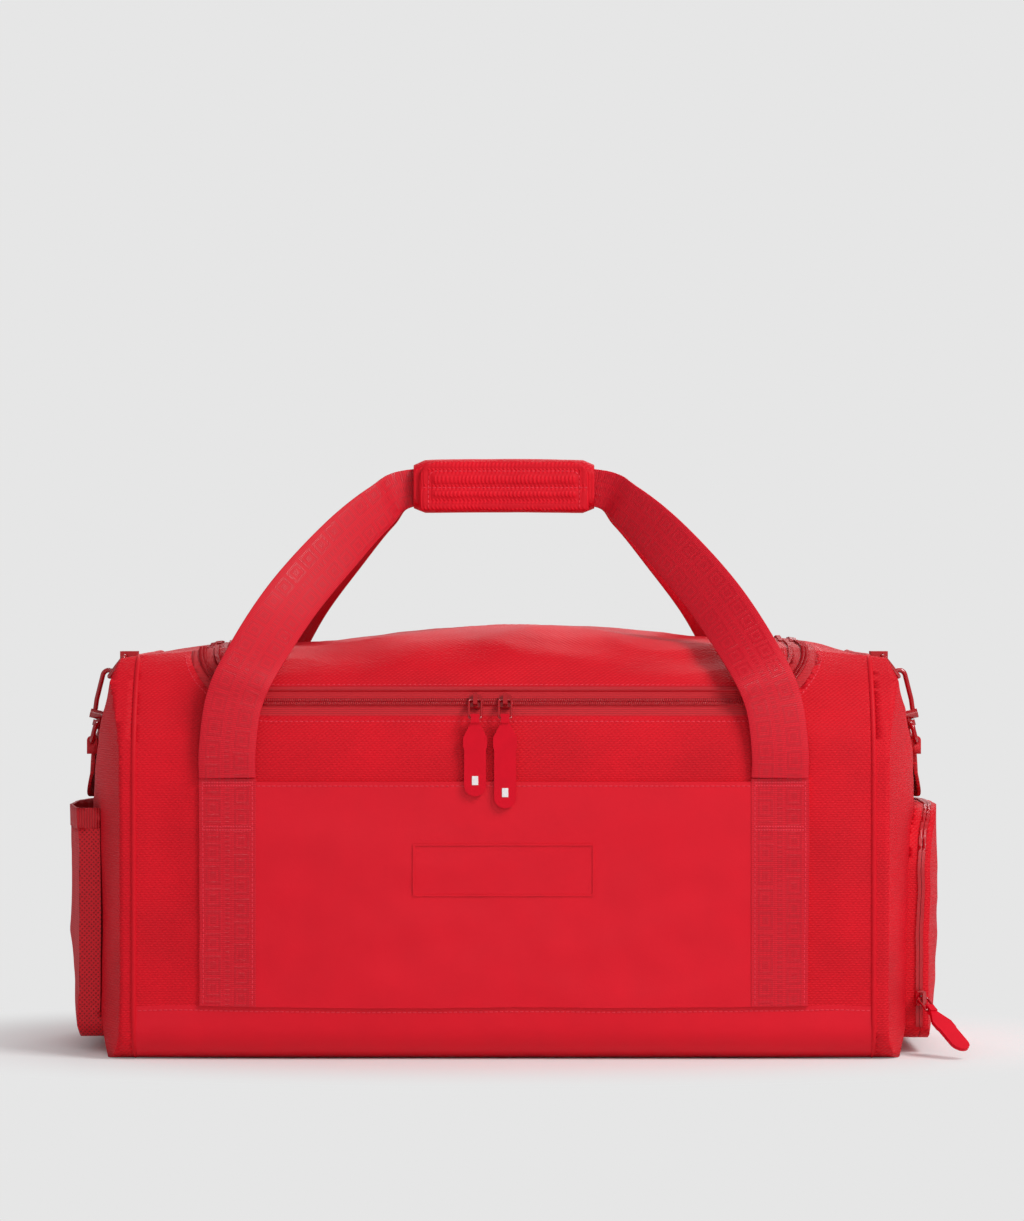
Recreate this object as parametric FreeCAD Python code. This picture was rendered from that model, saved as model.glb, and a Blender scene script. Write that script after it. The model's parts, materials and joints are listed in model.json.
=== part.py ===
"""Sports holdall: a soft zipped bag with carry loops, end pockets and a clip-on shoulder strap.

Millimetres. The bag stands on z = 0 with the origin at the centre of its base. +X runs along
the bag towards the shoe pocket, -Y is the front and +Z is up. Each sub-part is one STEP file.
"""
import FreeCAD, Part
import math
import os

from FreeCAD import Vector

# ---- the stuffed body -------------------------------------------------------------------
SEAM_X = 250.0          # end seams on the front face, from the middle
END_TOP_X = 259.0       # end panels where they meet the top
END_BULGE_X = 286.0     # end panels at their fullest
END_BULGE_Z = 150.0
END_BASE_X = 266.0      # end panels at the base
HALF_DEPTH = 140.0
TOP_Z = 287.0           # top of the lid in the middle
TOP_END_Z = 268.0       # top of the body at the end seams
SHOULDER_R = 95.0       # long edges of the top
BASE_R = 22.0           # long edges of the base
WALL = 3.0              # shell cloth, foam and lining together
RIM = 2.0               # turned edge of an end panel past its seam
GAP = 0.3               # clearance between pieces of different bodies

# ---- base, front overlay and sewn webbing -----------------------------------------------
BASE_BAND_Z = 36.0
WEBBING_W = 38.0
WEBBING_T = 2.0
WEBBING_X = 184.0       # centre line of each sewn webbing
SEWN_TOP_Z = 188.0
OVERLAY_T = 1.6
OVERLAY_TOP_Z = 186.0
BADGE_W = 121.0
BADGE_H = 35.0
BADGE_RIM = 1.2
BADGE_Z = 127.0
BOARD_T = 3.0
BOARD_MARGIN = 14.0

# ---- lid and main zip --------------------------------------------------------------------
LID_TILT = 35.0         # degrees that the lid's outline is turned forward from plan view
ZIP_X = 204.0           # zip line on the two side runs
ZIP_FRONT_Z = 238.0     # zip line on the front run
ZIP_CORNER_R = 47.0
TAPE_W = 8.0            # each tape, from the zip line to its seam
COIL_W = 2.2            # each half of the coil
COIL_T = 1.2
PIPING_W = 2.6
PIPING_T = 1.6
HINGE_Y = 120.0
SLIDER_LEFT_X = -19.0
SLIDER_RIGHT_X = 1.0
SLIDER_L = 9.0
SLIDER_W = 10.0
SLIDER_T = 3.0

# ---- carry loops and grip ----------------------------------------------------------------
GRIP_Z = 386.5
GRIP_HALF_L = 63.0
GRIP_H = 36.0
GRIP_HALF_T = 13.0
GRIP_WALL = 3.5
GRIP_R = 9.0
RUN_Y = 6.0             # webbing run inside each half of the grip
RUN_W = 26.0            # webbing as it is curled inside the grip
FLAP_T = 2.4
FLAP_R = 12.0

# ---- end pockets -------------------------------------------------------------------------
POCKET_HALF_W = 88.0
BOTTLE_TOP_Z = 166.0
BOTTLE_OUT = 15.0
BOTTLE_WALL = 1.6
BAND_H = 14.0
BAND_T = 2.2
SHOE_TOP_Z = 166.0
SHOE_OUT = 9.0          # gusset, out from the end panel
SHOE_COVER_OUT = 15.0
SHOE_HALF_W = 96.0
SHOE_SLIDER_X = 281.0   # slider at the foot of the shoe pocket's front run
SHOE_SLIDER_Z = 38.0
SHOE_SLIDER_LIFT = 3.7
SHOE_SLIDER_TURN = 35.0
SHOE_PULL_TILT = -55.0
SHOE_PULL_L = 42.0
POCKET_Z = 10.0
POCKET_R = 45.0

# ---- rings, hooks and shoulder strap -----------------------------------------------------
RING_ROD_R = 1.7
RING_HALF_W = 14.0
RING_APEX_HALF_W = 9.5   # straight foot of the ring
RING_BAR_X = 264.0
RING_BAR_Z = 268.0
RING_APEX_X = 275.0
RING_APEX_Z = 254.0
HOOK_ROD_R = 1.7
STRAP_W = 38.0
STRAP_T = 2.4
STRAP_BACK_Y = 152.0    # strap's centre plane behind the back panel
ADJUSTER_TILT = 14.5
PAD_LENGTH = 220.0
PAD_W = 62.0
PAD_T = 9.0


def line(a, b):
    """Straight edge between two points."""
    return Part.LineSegment(Vector(*a), Vector(*b)).toShape()


def arc(a, b, c):
    """Arc from a through b to c."""
    return Part.Arc(Vector(*a), Vector(*b), Vector(*c)).toShape()


def prism(edges, along):
    """Solid that a closed outline sweeps along a vector."""
    return Part.Face(Part.Wire(edges)).extrude(Vector(*along))


def block(x0, x1, y0, y1, z0, z1):
    """Box between two corners."""
    return Part.makeBox(x1 - x0, y1 - y0, z1 - z0, Vector(x0, y0, z0))


def mirror_x(shape):
    """The same piece at the other end of the bag."""
    return shape.mirror(Vector(0, 0, 0), Vector(1, 0, 0))


def mirror_y(shape):
    """The same piece on the other side of the bag."""
    return shape.mirror(Vector(0, 0, 0), Vector(0, 1, 0))


def rounded_profile(inset):
    """Closed cross outline of the body: flat base, upright sides and a rounded top."""
    x, y, z0, z1 = -2 * END_BULGE_X, HALF_DEPTH - inset, inset, TOP_Z - inset
    rb, rt = BASE_R - inset, SHOULDER_R - inset
    k = 1 - math.sqrt(0.5)
    return [
        line((x, -y + rb, z0), (x, y - rb, z0)),
        arc((x, y - rb, z0), (x, y - k * rb, z0 + k * rb), (x, y, z0 + rb)),
        line((x, y, z0 + rb), (x, y, z1 - rt)),
        arc((x, y, z1 - rt), (x, y - k * rt, z1 - k * rt), (x, y - rt, z1)),
        line((x, y - rt, z1), (x, -y + rt, z1)),
        arc((x, -y + rt, z1), (x, -y + k * rt, z1 - k * rt), (x, -y, z1 - rt)),
        line((x, -y, z1 - rt), (x, -y, z0 + rb)),
        arc((x, -y, z0 + rb), (x, -y + k * rb, z0 + k * rb), (x, -y + rb, z0)),
    ]


def plan_outline(inset):
    """Closed plan outline: straight long sides and bowed ends."""
    x, xm, y = SEAM_X - inset, END_BULGE_X - inset, 2 * HALF_DEPTH
    bow = xm - (xm - x) * (y / HALF_DEPTH) ** 2
    return [
        line((-bow, -y, 0), (bow, -y, 0)),
        arc((bow, -y, 0), (xm, 0, 0), (bow, y, 0)),
        line((bow, y, 0), (-bow, y, 0)),
        arc((-bow, y, 0), (-xm, 0, 0), (-bow, -y, 0)),
    ]


def front_outline(inset):
    """Closed front outline: flat base, full ends and a slightly crowned top."""
    xt, xm, xb = END_TOP_X - inset, END_BULGE_X - inset, END_BASE_X - inset
    z0, z1, zm = inset, TOP_END_Z - inset, TOP_Z - inset
    y = -2 * HALF_DEPTH
    return [
        line((-xb, y, z0), (xb, y, z0)),
        arc((xb, y, z0), (xm, y, END_BULGE_Z), (xt, y, z1)),
        arc((xt, y, z1), (0, y, zm), (-xt, y, z1)),
        arc((-xt, y, z1), (-xm, y, END_BULGE_Z), (-xb, y, z0)),
    ]


def body_solid(inset):
    """The whole stuffed body, moved in by inset on every side."""
    shape = prism(rounded_profile(inset), (4 * END_BULGE_X, 0, 0))
    shape = shape.common(prism(plan_outline(inset), (0, 0, 2 * TOP_Z)))
    return shape.common(prism(front_outline(inset), (0, 4 * HALF_DEPTH, 0)))


def skin(out, depth):
    """Layer of the body from out beyond its surface to depth under it."""
    return body_solid(-out).cut(body_solid(depth))


def lid_prism(grow, back=HINGE_Y):
    """Space over the lid's outline, grown by grow, in front of the hinge line."""
    a = math.radians(LID_TILT)
    up, fore = Vector(0, -math.sin(a), math.cos(a)), Vector(0, -math.cos(a), -math.sin(a))
    rise = ZIP_FRONT_Z - (TOP_Z - SHOULDER_R)
    front_y = -(HALF_DEPTH - SHOULDER_R) - math.sqrt(SHOULDER_R ** 2 - rise ** 2)
    v = Vector(0, front_y, ZIP_FRONT_Z).dot(fore) + grow
    x, r, k = ZIP_X + grow, ZIP_CORNER_R + grow, 1 - math.sqrt(0.5)

    def at(px, pv):
        p = Vector(px, 0, 0) + fore * pv + up * SHOULDER_R
        return (p.x, p.y, p.z)

    far = -4 * HALF_DEPTH
    edges = [
        line(at(-x, far), at(-x, v - r)),
        arc(at(-x, v - r), at(-x + k * r, v - k * r), at(-x + r, v)),
        line(at(-x + r, v), at(x - r, v)),
        arc(at(x - r, v), at(x - k * r, v - k * r), at(x, v - r)),
        line(at(x, v - r), at(x, far)),
        line(at(x, far), at(-x, far)),
    ]
    return prism(edges, up * (4 * HALF_DEPTH)).common(
        block(-x - 1, x + 1, -2 * HALF_DEPTH, back, 0, 2 * TOP_Z))


def loft(sections):
    """Solid through a row of four-cornered sections, straight from one to the next."""
    wires = [Part.makePolygon(list(s) + [s[0]]) for s in sections]
    return Part.makeLoft(wires, True, True)


def ribbon(stations):
    """Webbing through stations of (centre, width direction, width, thickness)."""
    sections = []
    for i, (c, w, width, thick) in enumerate(stations):
        a, b = stations[max(i - 1, 0)][0], stations[min(i + 1, len(stations) - 1)][0]
        t = (b - a).normalize()
        n = t.cross(w).normalize()
        w = n.cross(t).normalize()
        p, q = w * (width / 2), n * (thick / 2)
        sections.append([c - p - q, c + p - q, c + p + q, c - p + q])
    return loft(sections)


def rod(points, corner, radius, closed=True):
    """Round rod along a route whose corners are rounded."""
    pts = [Vector(*p) for p in points]
    count = len(pts)
    inner = range(count) if closed else range(1, count - 1)
    bends = {}
    for i in inner:
        p = pts[i]
        a, b = (pts[i - 1] - p).normalize(), (pts[(i + 1) % count] - p).normalize()
        half = a.getAngle(b) / 2
        back = corner / math.tan(half)
        mid = p + (a + b).normalize() * (corner / math.sin(half) - corner)
        bends[i] = (p + a * back, mid, p + b * back)
    edges = []
    for i in range(count if closed else count - 1):
        j = (i + 1) % count
        start = bends[i][2] if i in bends else pts[i]
        end = bends[j][0] if j in bends else pts[j]
        if (end - start).Length > 0.01:
            edges.append(Part.LineSegment(start, end).toShape())
        if j in bends:
            edges.append(Part.Arc(*bends[j]).toShape())
    path = Part.Wire(edges)
    first = edges[0]
    at = first.valueAt(first.FirstParameter)
    along = first.tangentAt(first.FirstParameter)
    ring = Part.Wire([Part.makeCircle(radius, at, along)])
    return path.makePipeShell([ring], True, False)


# ---- sub-parts ---------------------------------------------------------------------------
def shell_panels(parts):
    """Front, back, base and end panels, with the liner board and the foam lining."""
    shell = skin(0, WALL).cut(lid_prism(TAPE_W))
    cut_x = SEAM_X - RIM
    wide, tall = 2 * END_BULGE_X, 2 * TOP_Z
    deep = 2 * HALF_DEPTH
    middle = shell.common(block(-cut_x, cut_x, -deep, deep, -1, tall))
    parts["end_panel_left"] = shell.common(block(-wide, -cut_x, -deep, deep, -1, tall))
    parts["end_panel_right"] = shell.common(block(cut_x, wide, -deep, deep, -1, tall))
    parts["base_panel"] = middle.common(block(-wide, wide, -deep, deep, -1, BASE_BAND_Z))
    upper = middle.common(block(-wide, wide, -deep, deep, BASE_BAND_Z, tall))
    parts["front_panel"] = upper.common(block(-wide, wide, -deep, 0, 0, tall))
    parts["back_panel"] = upper.common(block(-wide, wide, 0, deep, 0, tall))
    board = HALF_DEPTH - BASE_R - BOARD_MARGIN / 2
    parts["base_board"] = block(-cut_x + BOARD_MARGIN, cut_x - BOARD_MARGIN, -board, board,
                                WALL, WALL + BOARD_T)


def lid_and_zip(parts):
    """Lid, its piping, and the two tapes and two coil halves of the main zip."""
    shell = skin(0, WALL)
    ring = lid_prism(TAPE_W).cut(lid_prism(GAP / 2))
    parts["body_zip_tape"] = shell.common(ring)
    inner = lid_prism(-GAP / 2, HINGE_Y - GAP)
    parts["lid_zip_tape"] = shell.common(inner.cut(lid_prism(-TAPE_W, 2 * HINGE_Y)))
    parts["lid_panel"] = shell.common(lid_prism(-TAPE_W, HINGE_Y - GAP))
    coil = skin(COIL_T, 0)
    parts["body_zip_coil"] = coil.common(lid_prism(COIL_W).cut(lid_prism(GAP / 2)))
    parts["lid_zip_coil"] = coil.common(inner.cut(lid_prism(-COIL_W, 2 * HINGE_Y)))
    cord = skin(PIPING_T, 0).common(lid_prism(-TAPE_W, HINGE_Y - GAP))
    parts["lid_piping"] = cord.cut(lid_prism(-TAPE_W - PIPING_W, 2 * HINGE_Y))


def front_dressing(parts):
    """Overlay, raised badge frame and the webbing sewn down the front and the back."""
    x = WEBBING_X - WEBBING_W / 2
    y = -HALF_DEPTH
    parts["front_overlay"] = block(-x, x, y - OVERLAY_T, y, BASE_BAND_Z, OVERLAY_TOP_Z)
    w, h, face = BADGE_W / 2, BADGE_H / 2, y - OVERLAY_T
    frame = block(-w, w, face - BADGE_RIM / 2, face, BADGE_Z - h, BADGE_Z + h)
    parts["badge_frame"] = frame.cut(block(-w + BADGE_RIM, w - BADGE_RIM, face - 1, face + 1,
                                           BADGE_Z - h + BADGE_RIM, BADGE_Z + h - BADGE_RIM))
    right = block(x, x + WEBBING_W, y - WEBBING_T, y, BASE_BAND_Z, SEWN_TOP_Z)
    parts["front_webbing_right"] = right
    parts["front_webbing_left"] = mirror_x(right)
    parts["back_webbing_right"] = mirror_y(right)
    parts["back_webbing_left"] = mirror_x(mirror_y(right))


def carry_loop():
    """Front loop: up round the shoulder, leaning in to the grip, and down again."""
    cy, cz = -(HALF_DEPTH - SHOULDER_R), TOP_Z - SHOULDER_R
    thick = WEBBING_T

    def over(degrees, x, stand_off):
        a, r = math.radians(degrees), SHOULDER_R + 2 * WEBBING_T + stand_off
        return Vector(x, cy - r * math.cos(a), cz + r * math.sin(a))

    foot_y = -HALF_DEPTH - 1.5 * WEBBING_T - GAP
    across = Vector(1, 0, 0)
    arm = [
        (Vector(-WEBBING_X, foot_y, SEWN_TOP_Z + GAP), across, WEBBING_W, thick),
        (over(9, -WEBBING_X, 1.5), across, WEBBING_W, thick),
        (over(26, -WEBBING_X + 4, 7), across, WEBBING_W, thick),
        (over(40, -WEBBING_X + 15, 14), Vector(1, 0, -0.3), WEBBING_W, thick),
        (Vector(-144, -84, 307), Vector(1, 0.2, -0.75), WEBBING_W, thick),
        (Vector(-112, -48, 346), Vector(0.8, 0.25, -0.9), 36, thick),
        (Vector(-86, -20, 372), Vector(0.5, 0.2, -1), 31, thick),
        (Vector(-GRIP_HALF_L - 2, -RUN_Y, GRIP_Z - 1), Vector(0.1, 0, -1), RUN_W, thick),
    ]
    mirrored = [(Vector(-c.x, c.y, c.z), Vector(w.x, -w.y, -w.z), b, t) for c, w, b, t in reversed(arm)]
    return ribbon(arm + mirrored)


def carry_loops(parts):
    """Two webbing loops, the two halves of the padded grip and its closing flap."""
    loop = carry_loop()
    parts["front_handle_webbing"] = loop
    parts["back_handle_webbing"] = mirror_y(loop)
    h, t, r = GRIP_H / 2, GRIP_HALF_T, GRIP_R
    outer = block(-GRIP_HALF_L, GRIP_HALF_L, -t, t, GRIP_Z - h, GRIP_Z + h)
    outer = outer.makeFillet(r, [e for e in outer.Edges if abs(e.tangentAt(0).x) > 0.9])
    w = GRIP_WALL
    slot = block(-2 * GRIP_HALF_L, 2 * GRIP_HALF_L, -t + w, t - w, GRIP_Z - h + w, GRIP_Z + h - w)
    tube = outer.cut(slot)
    far = 2 * GRIP_HALF_L
    front = tube.common(block(-far, far, -far, -GAP / 2, 0, 2 * GRIP_Z))
    parts["grip_pad_front"] = front
    parts["grip_pad_back"] = mirror_y(front)
    fh = h - 1
    flap = block(-GRIP_HALF_L + 4, GRIP_HALF_L - 4, -t - FLAP_T - GAP, -t - GAP,
                 GRIP_Z - fh, GRIP_Z + fh)
    tops = [e for e in flap.Edges if abs(e.tangentAt(0).y) > 0.9 and e.CenterOfMass.z > GRIP_Z]
    parts["grip_flap"] = flap.makeFillet(FLAP_R, tops)


def zip_point():
    """Middle of the zip's front run: point on the surface and the outward direction."""
    rise = ZIP_FRONT_Z - (TOP_Z - SHOULDER_R)
    reach = math.sqrt(SHOULDER_R ** 2 - rise ** 2)
    point = Vector(0, -(HALF_DEPTH - SHOULDER_R) - reach, ZIP_FRONT_Z)
    return point, Vector(0, -reach, rise).normalize()


def slider_body():
    """Zip slider lying on z = 0 at the origin, its travel along X and its bridge on top."""
    length, width = SLIDER_L / 2, SLIDER_W / 2
    plate = block(-length, length, -width, width, 0, SLIDER_T - 1)
    plate = plate.makeFillet(2.5, [e for e in plate.Edges if abs(e.tangentAt(0).z) > 0.9])
    bridge = block(-1.5, 1.5, -4, 4, 0, SLIDER_T + 2.4)
    tunnel = block(-2, 2, -2.4, 2.4, SLIDER_T - 1, SLIDER_T + 1.4)
    return plate.fuse(bridge).cut(tunnel).removeSplitter()


def pull_tab(length):
    """Moulded pull, hanging down -Z from the bar of its link at the origin, facing -Y."""
    neck, wide, strip, thick = 2.8, 8.0, 7.3, 1.2
    end = -length + strip
    outline = [(neck, 3.0), (neck, -3.0), (wide, -13.0), (wide, -19.0), (strip, -21.0), (strip, end)]
    pts = [(x, -thick, z) for x, z in outline]
    edges = [line(a, b) for a, b in zip(pts, pts[1:])]
    edges.append(arc(pts[-1], (0, -thick, -length), (-strip, -thick, end)))
    left = [(-x, y, z) for x, y, z in reversed(pts)]
    edges += [line(a, b) for a, b in zip(left, left[1:])]
    edges.append(line(left[-1], pts[0]))
    strap = prism(edges, (0, 2 * thick, 0))
    head = block(-neck, neck, -2.2, 2.2, -3.0, 3.0)
    bore = Part.makeCylinder(1.15, 20, Vector(-10, 0, 0), Vector(1, 0, 0))
    return strap.fuse(head).cut(bore).removeSplitter()


def main_sliders(parts):
    """Two sliders on the front run of the zip, each with a wire link and a moulded pull."""
    point, out = zip_point()
    seat = point + out * (COIL_T + GAP)
    turn = FreeCAD.Rotation(Vector(0, 0, 1), out)
    for side, x in (("left", SLIDER_LEFT_X), ("right", SLIDER_RIGHT_X)):
        shape = slider_body()
        shape.Placement = FreeCAD.Placement(seat + Vector(x, 0, 0), turn)
        parts["slider_" + side] = shape
        eye = seat + out * (SLIDER_T + 0.2) + Vector(x, 0, 0)
        bar = eye + Vector(0, -11.0, -12.0)
        w = 4.2
        across = Vector(w, 0, 0)
        corners = [eye - across, eye + across, bar + across, bar - across]
        parts["pull_link_" + side] = rod([tuple(c) for c in corners], 1.6, 0.8)
        tab = pull_tab(52.0 if side == "left" else 60.0)
        tab.translate(bar)
        parts["pull_tab_" + side] = tab


def pocket_prism(half_w, top, shrink, foot_r=12.0):
    """Space over an end pocket's outline, shrunk by shrink, across the left end of the bag."""
    x, y, z0, z1 = -2 * END_BULGE_X, half_w - shrink, POCKET_Z + shrink, top - shrink
    rt, rb, k = POCKET_R - shrink, foot_r - shrink, 1 - math.sqrt(0.5)
    edges = [
        line((x, -y + rb, z0), (x, y - rb, z0)),
        arc((x, y - rb, z0), (x, y - k * rb, z0 + k * rb), (x, y, z0 + rb)),
        line((x, y, z0 + rb), (x, y, z1 - rt)),
        arc((x, y, z1 - rt), (x, y - k * rt, z1 - k * rt), (x, y - rt, z1)),
        line((x, y - rt, z1), (x, -y + rt, z1)),
        arc((x, -y + rt, z1), (x, -y + k * rt, z1 - k * rt), (x, -y, z1 - rt)),
        line((x, -y, z1 - rt), (x, -y, z0 + rb)),
        arc((x, -y, z0 + rb), (x, -y + k * rb, z0 + k * rb), (x, -y + rb, z0)),
    ]
    return prism(edges, (2 * END_BULGE_X - SEAM_X, 0, 0))


def bottle_pocket(parts):
    """Open slip pocket on the left end, with an elastic band round its mouth."""
    solid, y = body_solid(0), POCKET_HALF_W
    tall = BOTTLE_TOP_Z + POCKET_R
    outer = body_solid(-BOTTLE_OUT).cut(solid).common(pocket_prism(y, tall, 0))
    room = body_solid(-BOTTLE_OUT + BOTTLE_WALL).common(pocket_prism(y, tall, BOTTLE_WALL))
    hem = BOTTLE_TOP_Z - BAND_H
    wide, far = 2 * END_BULGE_X, 2 * HALF_DEPTH
    parts["bottle_pocket"] = outer.cut(room).common(block(-wide, 0, -far, far, 0, hem))
    thick = body_solid(-BOTTLE_OUT - BAND_T + BOTTLE_WALL).cut(solid)
    band = thick.common(pocket_prism(y + 0.6, tall, 0)).cut(room)
    parts["pocket_band"] = band.common(block(-wide, 0, -far, far, hem, BOTTLE_TOP_Z))


def shoe_pocket(parts):
    """Zipped shoe pocket on the right end: gusset, fold-down cover, coils, slider and pull."""
    y, top, wall = SHOE_HALF_W, SHOE_TOP_Z, 2.4
    outline, inside = pocket_prism(y, top, 0), pocket_prism(y, top, wall)
    seat = body_solid(-SHOE_OUT)
    gusset = seat.cut(body_solid(0)).common(outline).cut(inside)
    lift = body_solid(-SHOE_OUT - GAP)
    cover = body_solid(-SHOE_COVER_OUT).cut(lift).common(outline)
    cover = cover.cut(body_solid(-SHOE_COVER_OUT + wall).common(inside))
    edge = pocket_prism(y + COIL_T, top + COIL_T, 0).cut(outline)
    upper = edge.common(block(-2 * END_BULGE_X, 0, -2 * y, 2 * y, POCKET_Z + 8, TOP_Z))
    fixed = upper.common(seat.cut(body_solid(-SHOE_OUT + COIL_W)))
    moving = upper.common(body_solid(-SHOE_OUT - GAP - COIL_W).cut(lift))
    parts["shoe_pocket_gusset"] = mirror_x(gusset)
    parts["shoe_pocket_cover"] = mirror_x(cover)
    parts["shoe_coil_fixed"] = mirror_x(fixed)
    parts["shoe_coil_cover"] = mirror_x(moving)
    eye, bar = Vector(0, -SLIDER_T - 0.2, 0), Vector(0, -12, -7)
    across = Vector(4.2, 0, 0)
    slider = slider_body()
    slider.rotate(Vector(0, 0, 0), Vector(1, 0, 0), 90)
    link = rod([tuple(c) for c in (eye - across, eye + across, bar + across, bar - across)], 1.6, 0.8)
    tab = pull_tab(SHOE_PULL_L)
    tab.rotate(Vector(0, 0, 0), Vector(1, 0, 0), SHOE_PULL_TILT)
    tab.translate(bar)
    for name, shape in (("slider", slider), ("pull_link", link), ("pull_tab", tab)):
        shape.rotate(Vector(0, 0, 0), Vector(0, 0, 1), SHOE_SLIDER_TURN)
        shape.translate(Vector(SHOE_SLIDER_X, -y - SHOE_SLIDER_LIFT, SHOE_SLIDER_Z))
        parts["shoe_" + name] = shape


def hook_axes():
    """Left hook: ring apex, direction down the hook and direction out of its back."""
    down = Vector(-0.243, 0, -0.97).normalize()
    return Vector(-RING_APEX_X, 0, RING_APEX_Z), down, Vector(down.z, 0, -down.x)


def end_hardware(parts):
    """Ring, tab, snap hook, gate and swivel eye at both ends of the shoulder strap."""
    apex, down, out = hook_axes()
    bar = Vector(-RING_BAR_X, 0, RING_BAR_Z)
    side = Vector(0, 1, 0)
    reach, w = apex - bar, RING_HALF_W
    route = [bar - side * w, bar + side * w, bar + reach * 0.5 + side * w, apex + side * RING_APEX_HALF_W,
             apex - side * RING_APEX_HALF_W, bar + reach * 0.5 - side * w]
    ring = rod([tuple(p) for p in route], 3.0, RING_ROD_R)
    bore = Part.makeCylinder(RING_ROD_R + GAP / 2, 4 * w, bar - side * (2 * w), side)
    tab = block(bar.x - 3.6, bar.x + 8, -w + 4.5, w - 4.5, bar.z - 3.6, bar.z + 3.6)
    tab = tab.cut(bore).cut(body_solid(0))
    tab = max(tab.Solids, key=lambda solid: solid.Volume)
    rise, half = RING_ROD_R + HOOK_ROD_R + 2 * GAP, 5.5

    def at(along, across, depth=0.0):
        return apex + down * along + out * across + side * depth

    bill = rod([tuple(p) for p in (at(27, half - 1), at(18, half), at(-rise, half), at(-rise, -half),
                                   at(9, -half))], 4.4, HOOK_ROD_R, closed=False)
    base = Part.makeCylinder(3.4, 15, at(28, -7.5), out)
    shank = Part.makeCylinder(2.4, 6.6, at(30, 0), down)
    head = Part.makeCylinder(3.6, 1.4, at(36.6, 0), down)
    hook = bill.fuse([base, shank, head]).removeSplitter()
    gate = Part.makeCylinder(1.5, 14.0, at(10.0, -half), down)
    hub = Part.makeCylinder(4.4, 4.0, at(32.0, 0), down)
    hub = hub.cut(Part.makeCylinder(2.4 + GAP, 6.0, at(31.0, 0), down))
    reach_y = STRAP_W / 2 + 3
    frame = rod([tuple(p) for p in (at(34, 0, 3.6), at(34, 0, reach_y), at(46, 0, reach_y),
                                    at(46, 0, -reach_y), at(34, 0, -reach_y), at(34, 0, -3.6))],
                3.0, RING_ROD_R, closed=False)
    eye = frame.fuse(hub).removeSplitter()
    for name, shape in (("ring_tab", tab), ("d_ring", ring), ("snap_hook", hook),
                        ("hook_gate", gate), ("swivel_eye", eye)):
        parts[name + "_left"] = shape
        parts[name + "_right"] = mirror_x(shape)
    end = at(46, 0)
    loop = block(end.x - 3.6, end.x + 3.6, -STRAP_W / 2, STRAP_W / 2, end.z - 9, end.z + 3.6)
    loop = loop.makeFillet(3.2, [e for e in loop.Edges
                                 if abs(e.tangentAt(0).y) > 0.9 and e.CenterOfMass.z > end.z])
    loop = loop.cut(Part.makeCylinder(RING_ROD_R + GAP / 2, 60, end - side * 30, side))
    parts["strap_end_left"] = loop
    parts["strap_end_right"] = mirror_x(loop)
    return end


def shoulder_strap(parts, end):
    """Webbing from eye to eye round the back of the bag, with its pad and adjuster."""
    y = STRAP_BACK_Y
    full = STRAP_W
    half = [
        (Vector(end.x, 0, end.z - 9.9), Vector(0, 1, 0), full - 4),
        (Vector(end.x - 0.6, 0, end.z - 18), Vector(0, 1, 0), full - 12),
        (Vector(end.x - 3, 7, end.z - 25), Vector(0, 0.85, 0.5), full - 10),
        (Vector(end.x - 3.5, 23, end.z - 23), Vector(0, 0.3, 1), full - 5),
        (Vector(end.x - 3.5, 44, end.z - 16), Vector(0, 0, 1), full),
        (Vector(-286, 72, 191), Vector(0, 0, 1), full),
        (Vector(-276.5, 100, 188), Vector(0, 0, 1), full),
        (Vector(-266.5, 128, 180), Vector(0, 0.1, 1), full),
        (Vector(-256.5, 149.5, 169), Vector(0.2, 0, 1), full),
        (Vector(-228, y, 154), Vector(0.4, 0, 1), full),
        (Vector(-184, y, 133), Vector(0.3, 0, 1), full),
        (Vector(-130, y, 120), Vector(0.15, 0, 1), full),
        (Vector(-60, y, 113), Vector(0.05, 0, 1), full),
    ]
    flip = [(Vector(-c.x, c.y, c.z), Vector(-w.x, w.y, w.z), b) for c, w, b in reversed(half)]
    stations = [(c, w, b, STRAP_T) for c, w, b in half + flip]
    strap = ribbon(stations).cut(parts["strap_end_left"]).cut(parts["strap_end_right"])
    parts["shoulder_strap"] = max(strap.Solids, key=lambda solid: solid.Volume)
    low, high = -PAD_LENGTH / 2, PAD_LENGTH / 2
    pad = block(low, high, y - STRAP_T / 2 - PAD_T, y - STRAP_T / 2 - 0.1,
                113 - PAD_W / 2, 113 + PAD_W / 2)
    pad = pad.makeFillet(20, [e for e in pad.Edges if abs(e.tangentAt(0).y) > 0.9])
    parts["shoulder_pad"] = pad
    t = STRAP_T / 2 + 0.3
    buckle = block(-11, 11, -t - 1.8, t + 1.8, -STRAP_W / 2 - 4, STRAP_W / 2 + 4)
    buckle = buckle.cut(block(-30, 30, -t, t, -STRAP_W / 2 - 0.9, STRAP_W / 2 + 0.9))
    buckle.rotate(Vector(0, 0, 0), Vector(0, 1, 0), -ADJUSTER_TILT)
    buckle.translate(Vector(157, y, 127))
    parts["strap_adjuster"] = buckle


def write(parts):
    """One STEP file for each sub-part."""
    os.makedirs("parts", exist_ok=True)
    for name, shape in parts.items():
        if shape.ShapeType == "Compound" and len(shape.Solids) == 1:
            shape = shape.Solids[0]
        shape.exportStep(os.path.join("parts", name + ".step"))
        box = shape.BoundBox
        print(name, len(shape.Solids), round(shape.Volume), shape.isValid(),
              [round(v, 1) for v in (box.XMin, box.XMax, box.YMin, box.YMax, box.ZMin, box.ZMax)])


def main():
    """Make every sub-part and write it."""
    parts = {}
    shell_panels(parts)
    lid_and_zip(parts)
    front_dressing(parts)
    carry_loops(parts)
    main_sliders(parts)
    bottle_pocket(parts)
    shoe_pocket(parts)
    shoulder_strap(parts, end_hardware(parts))
    write(parts)


main()
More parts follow.
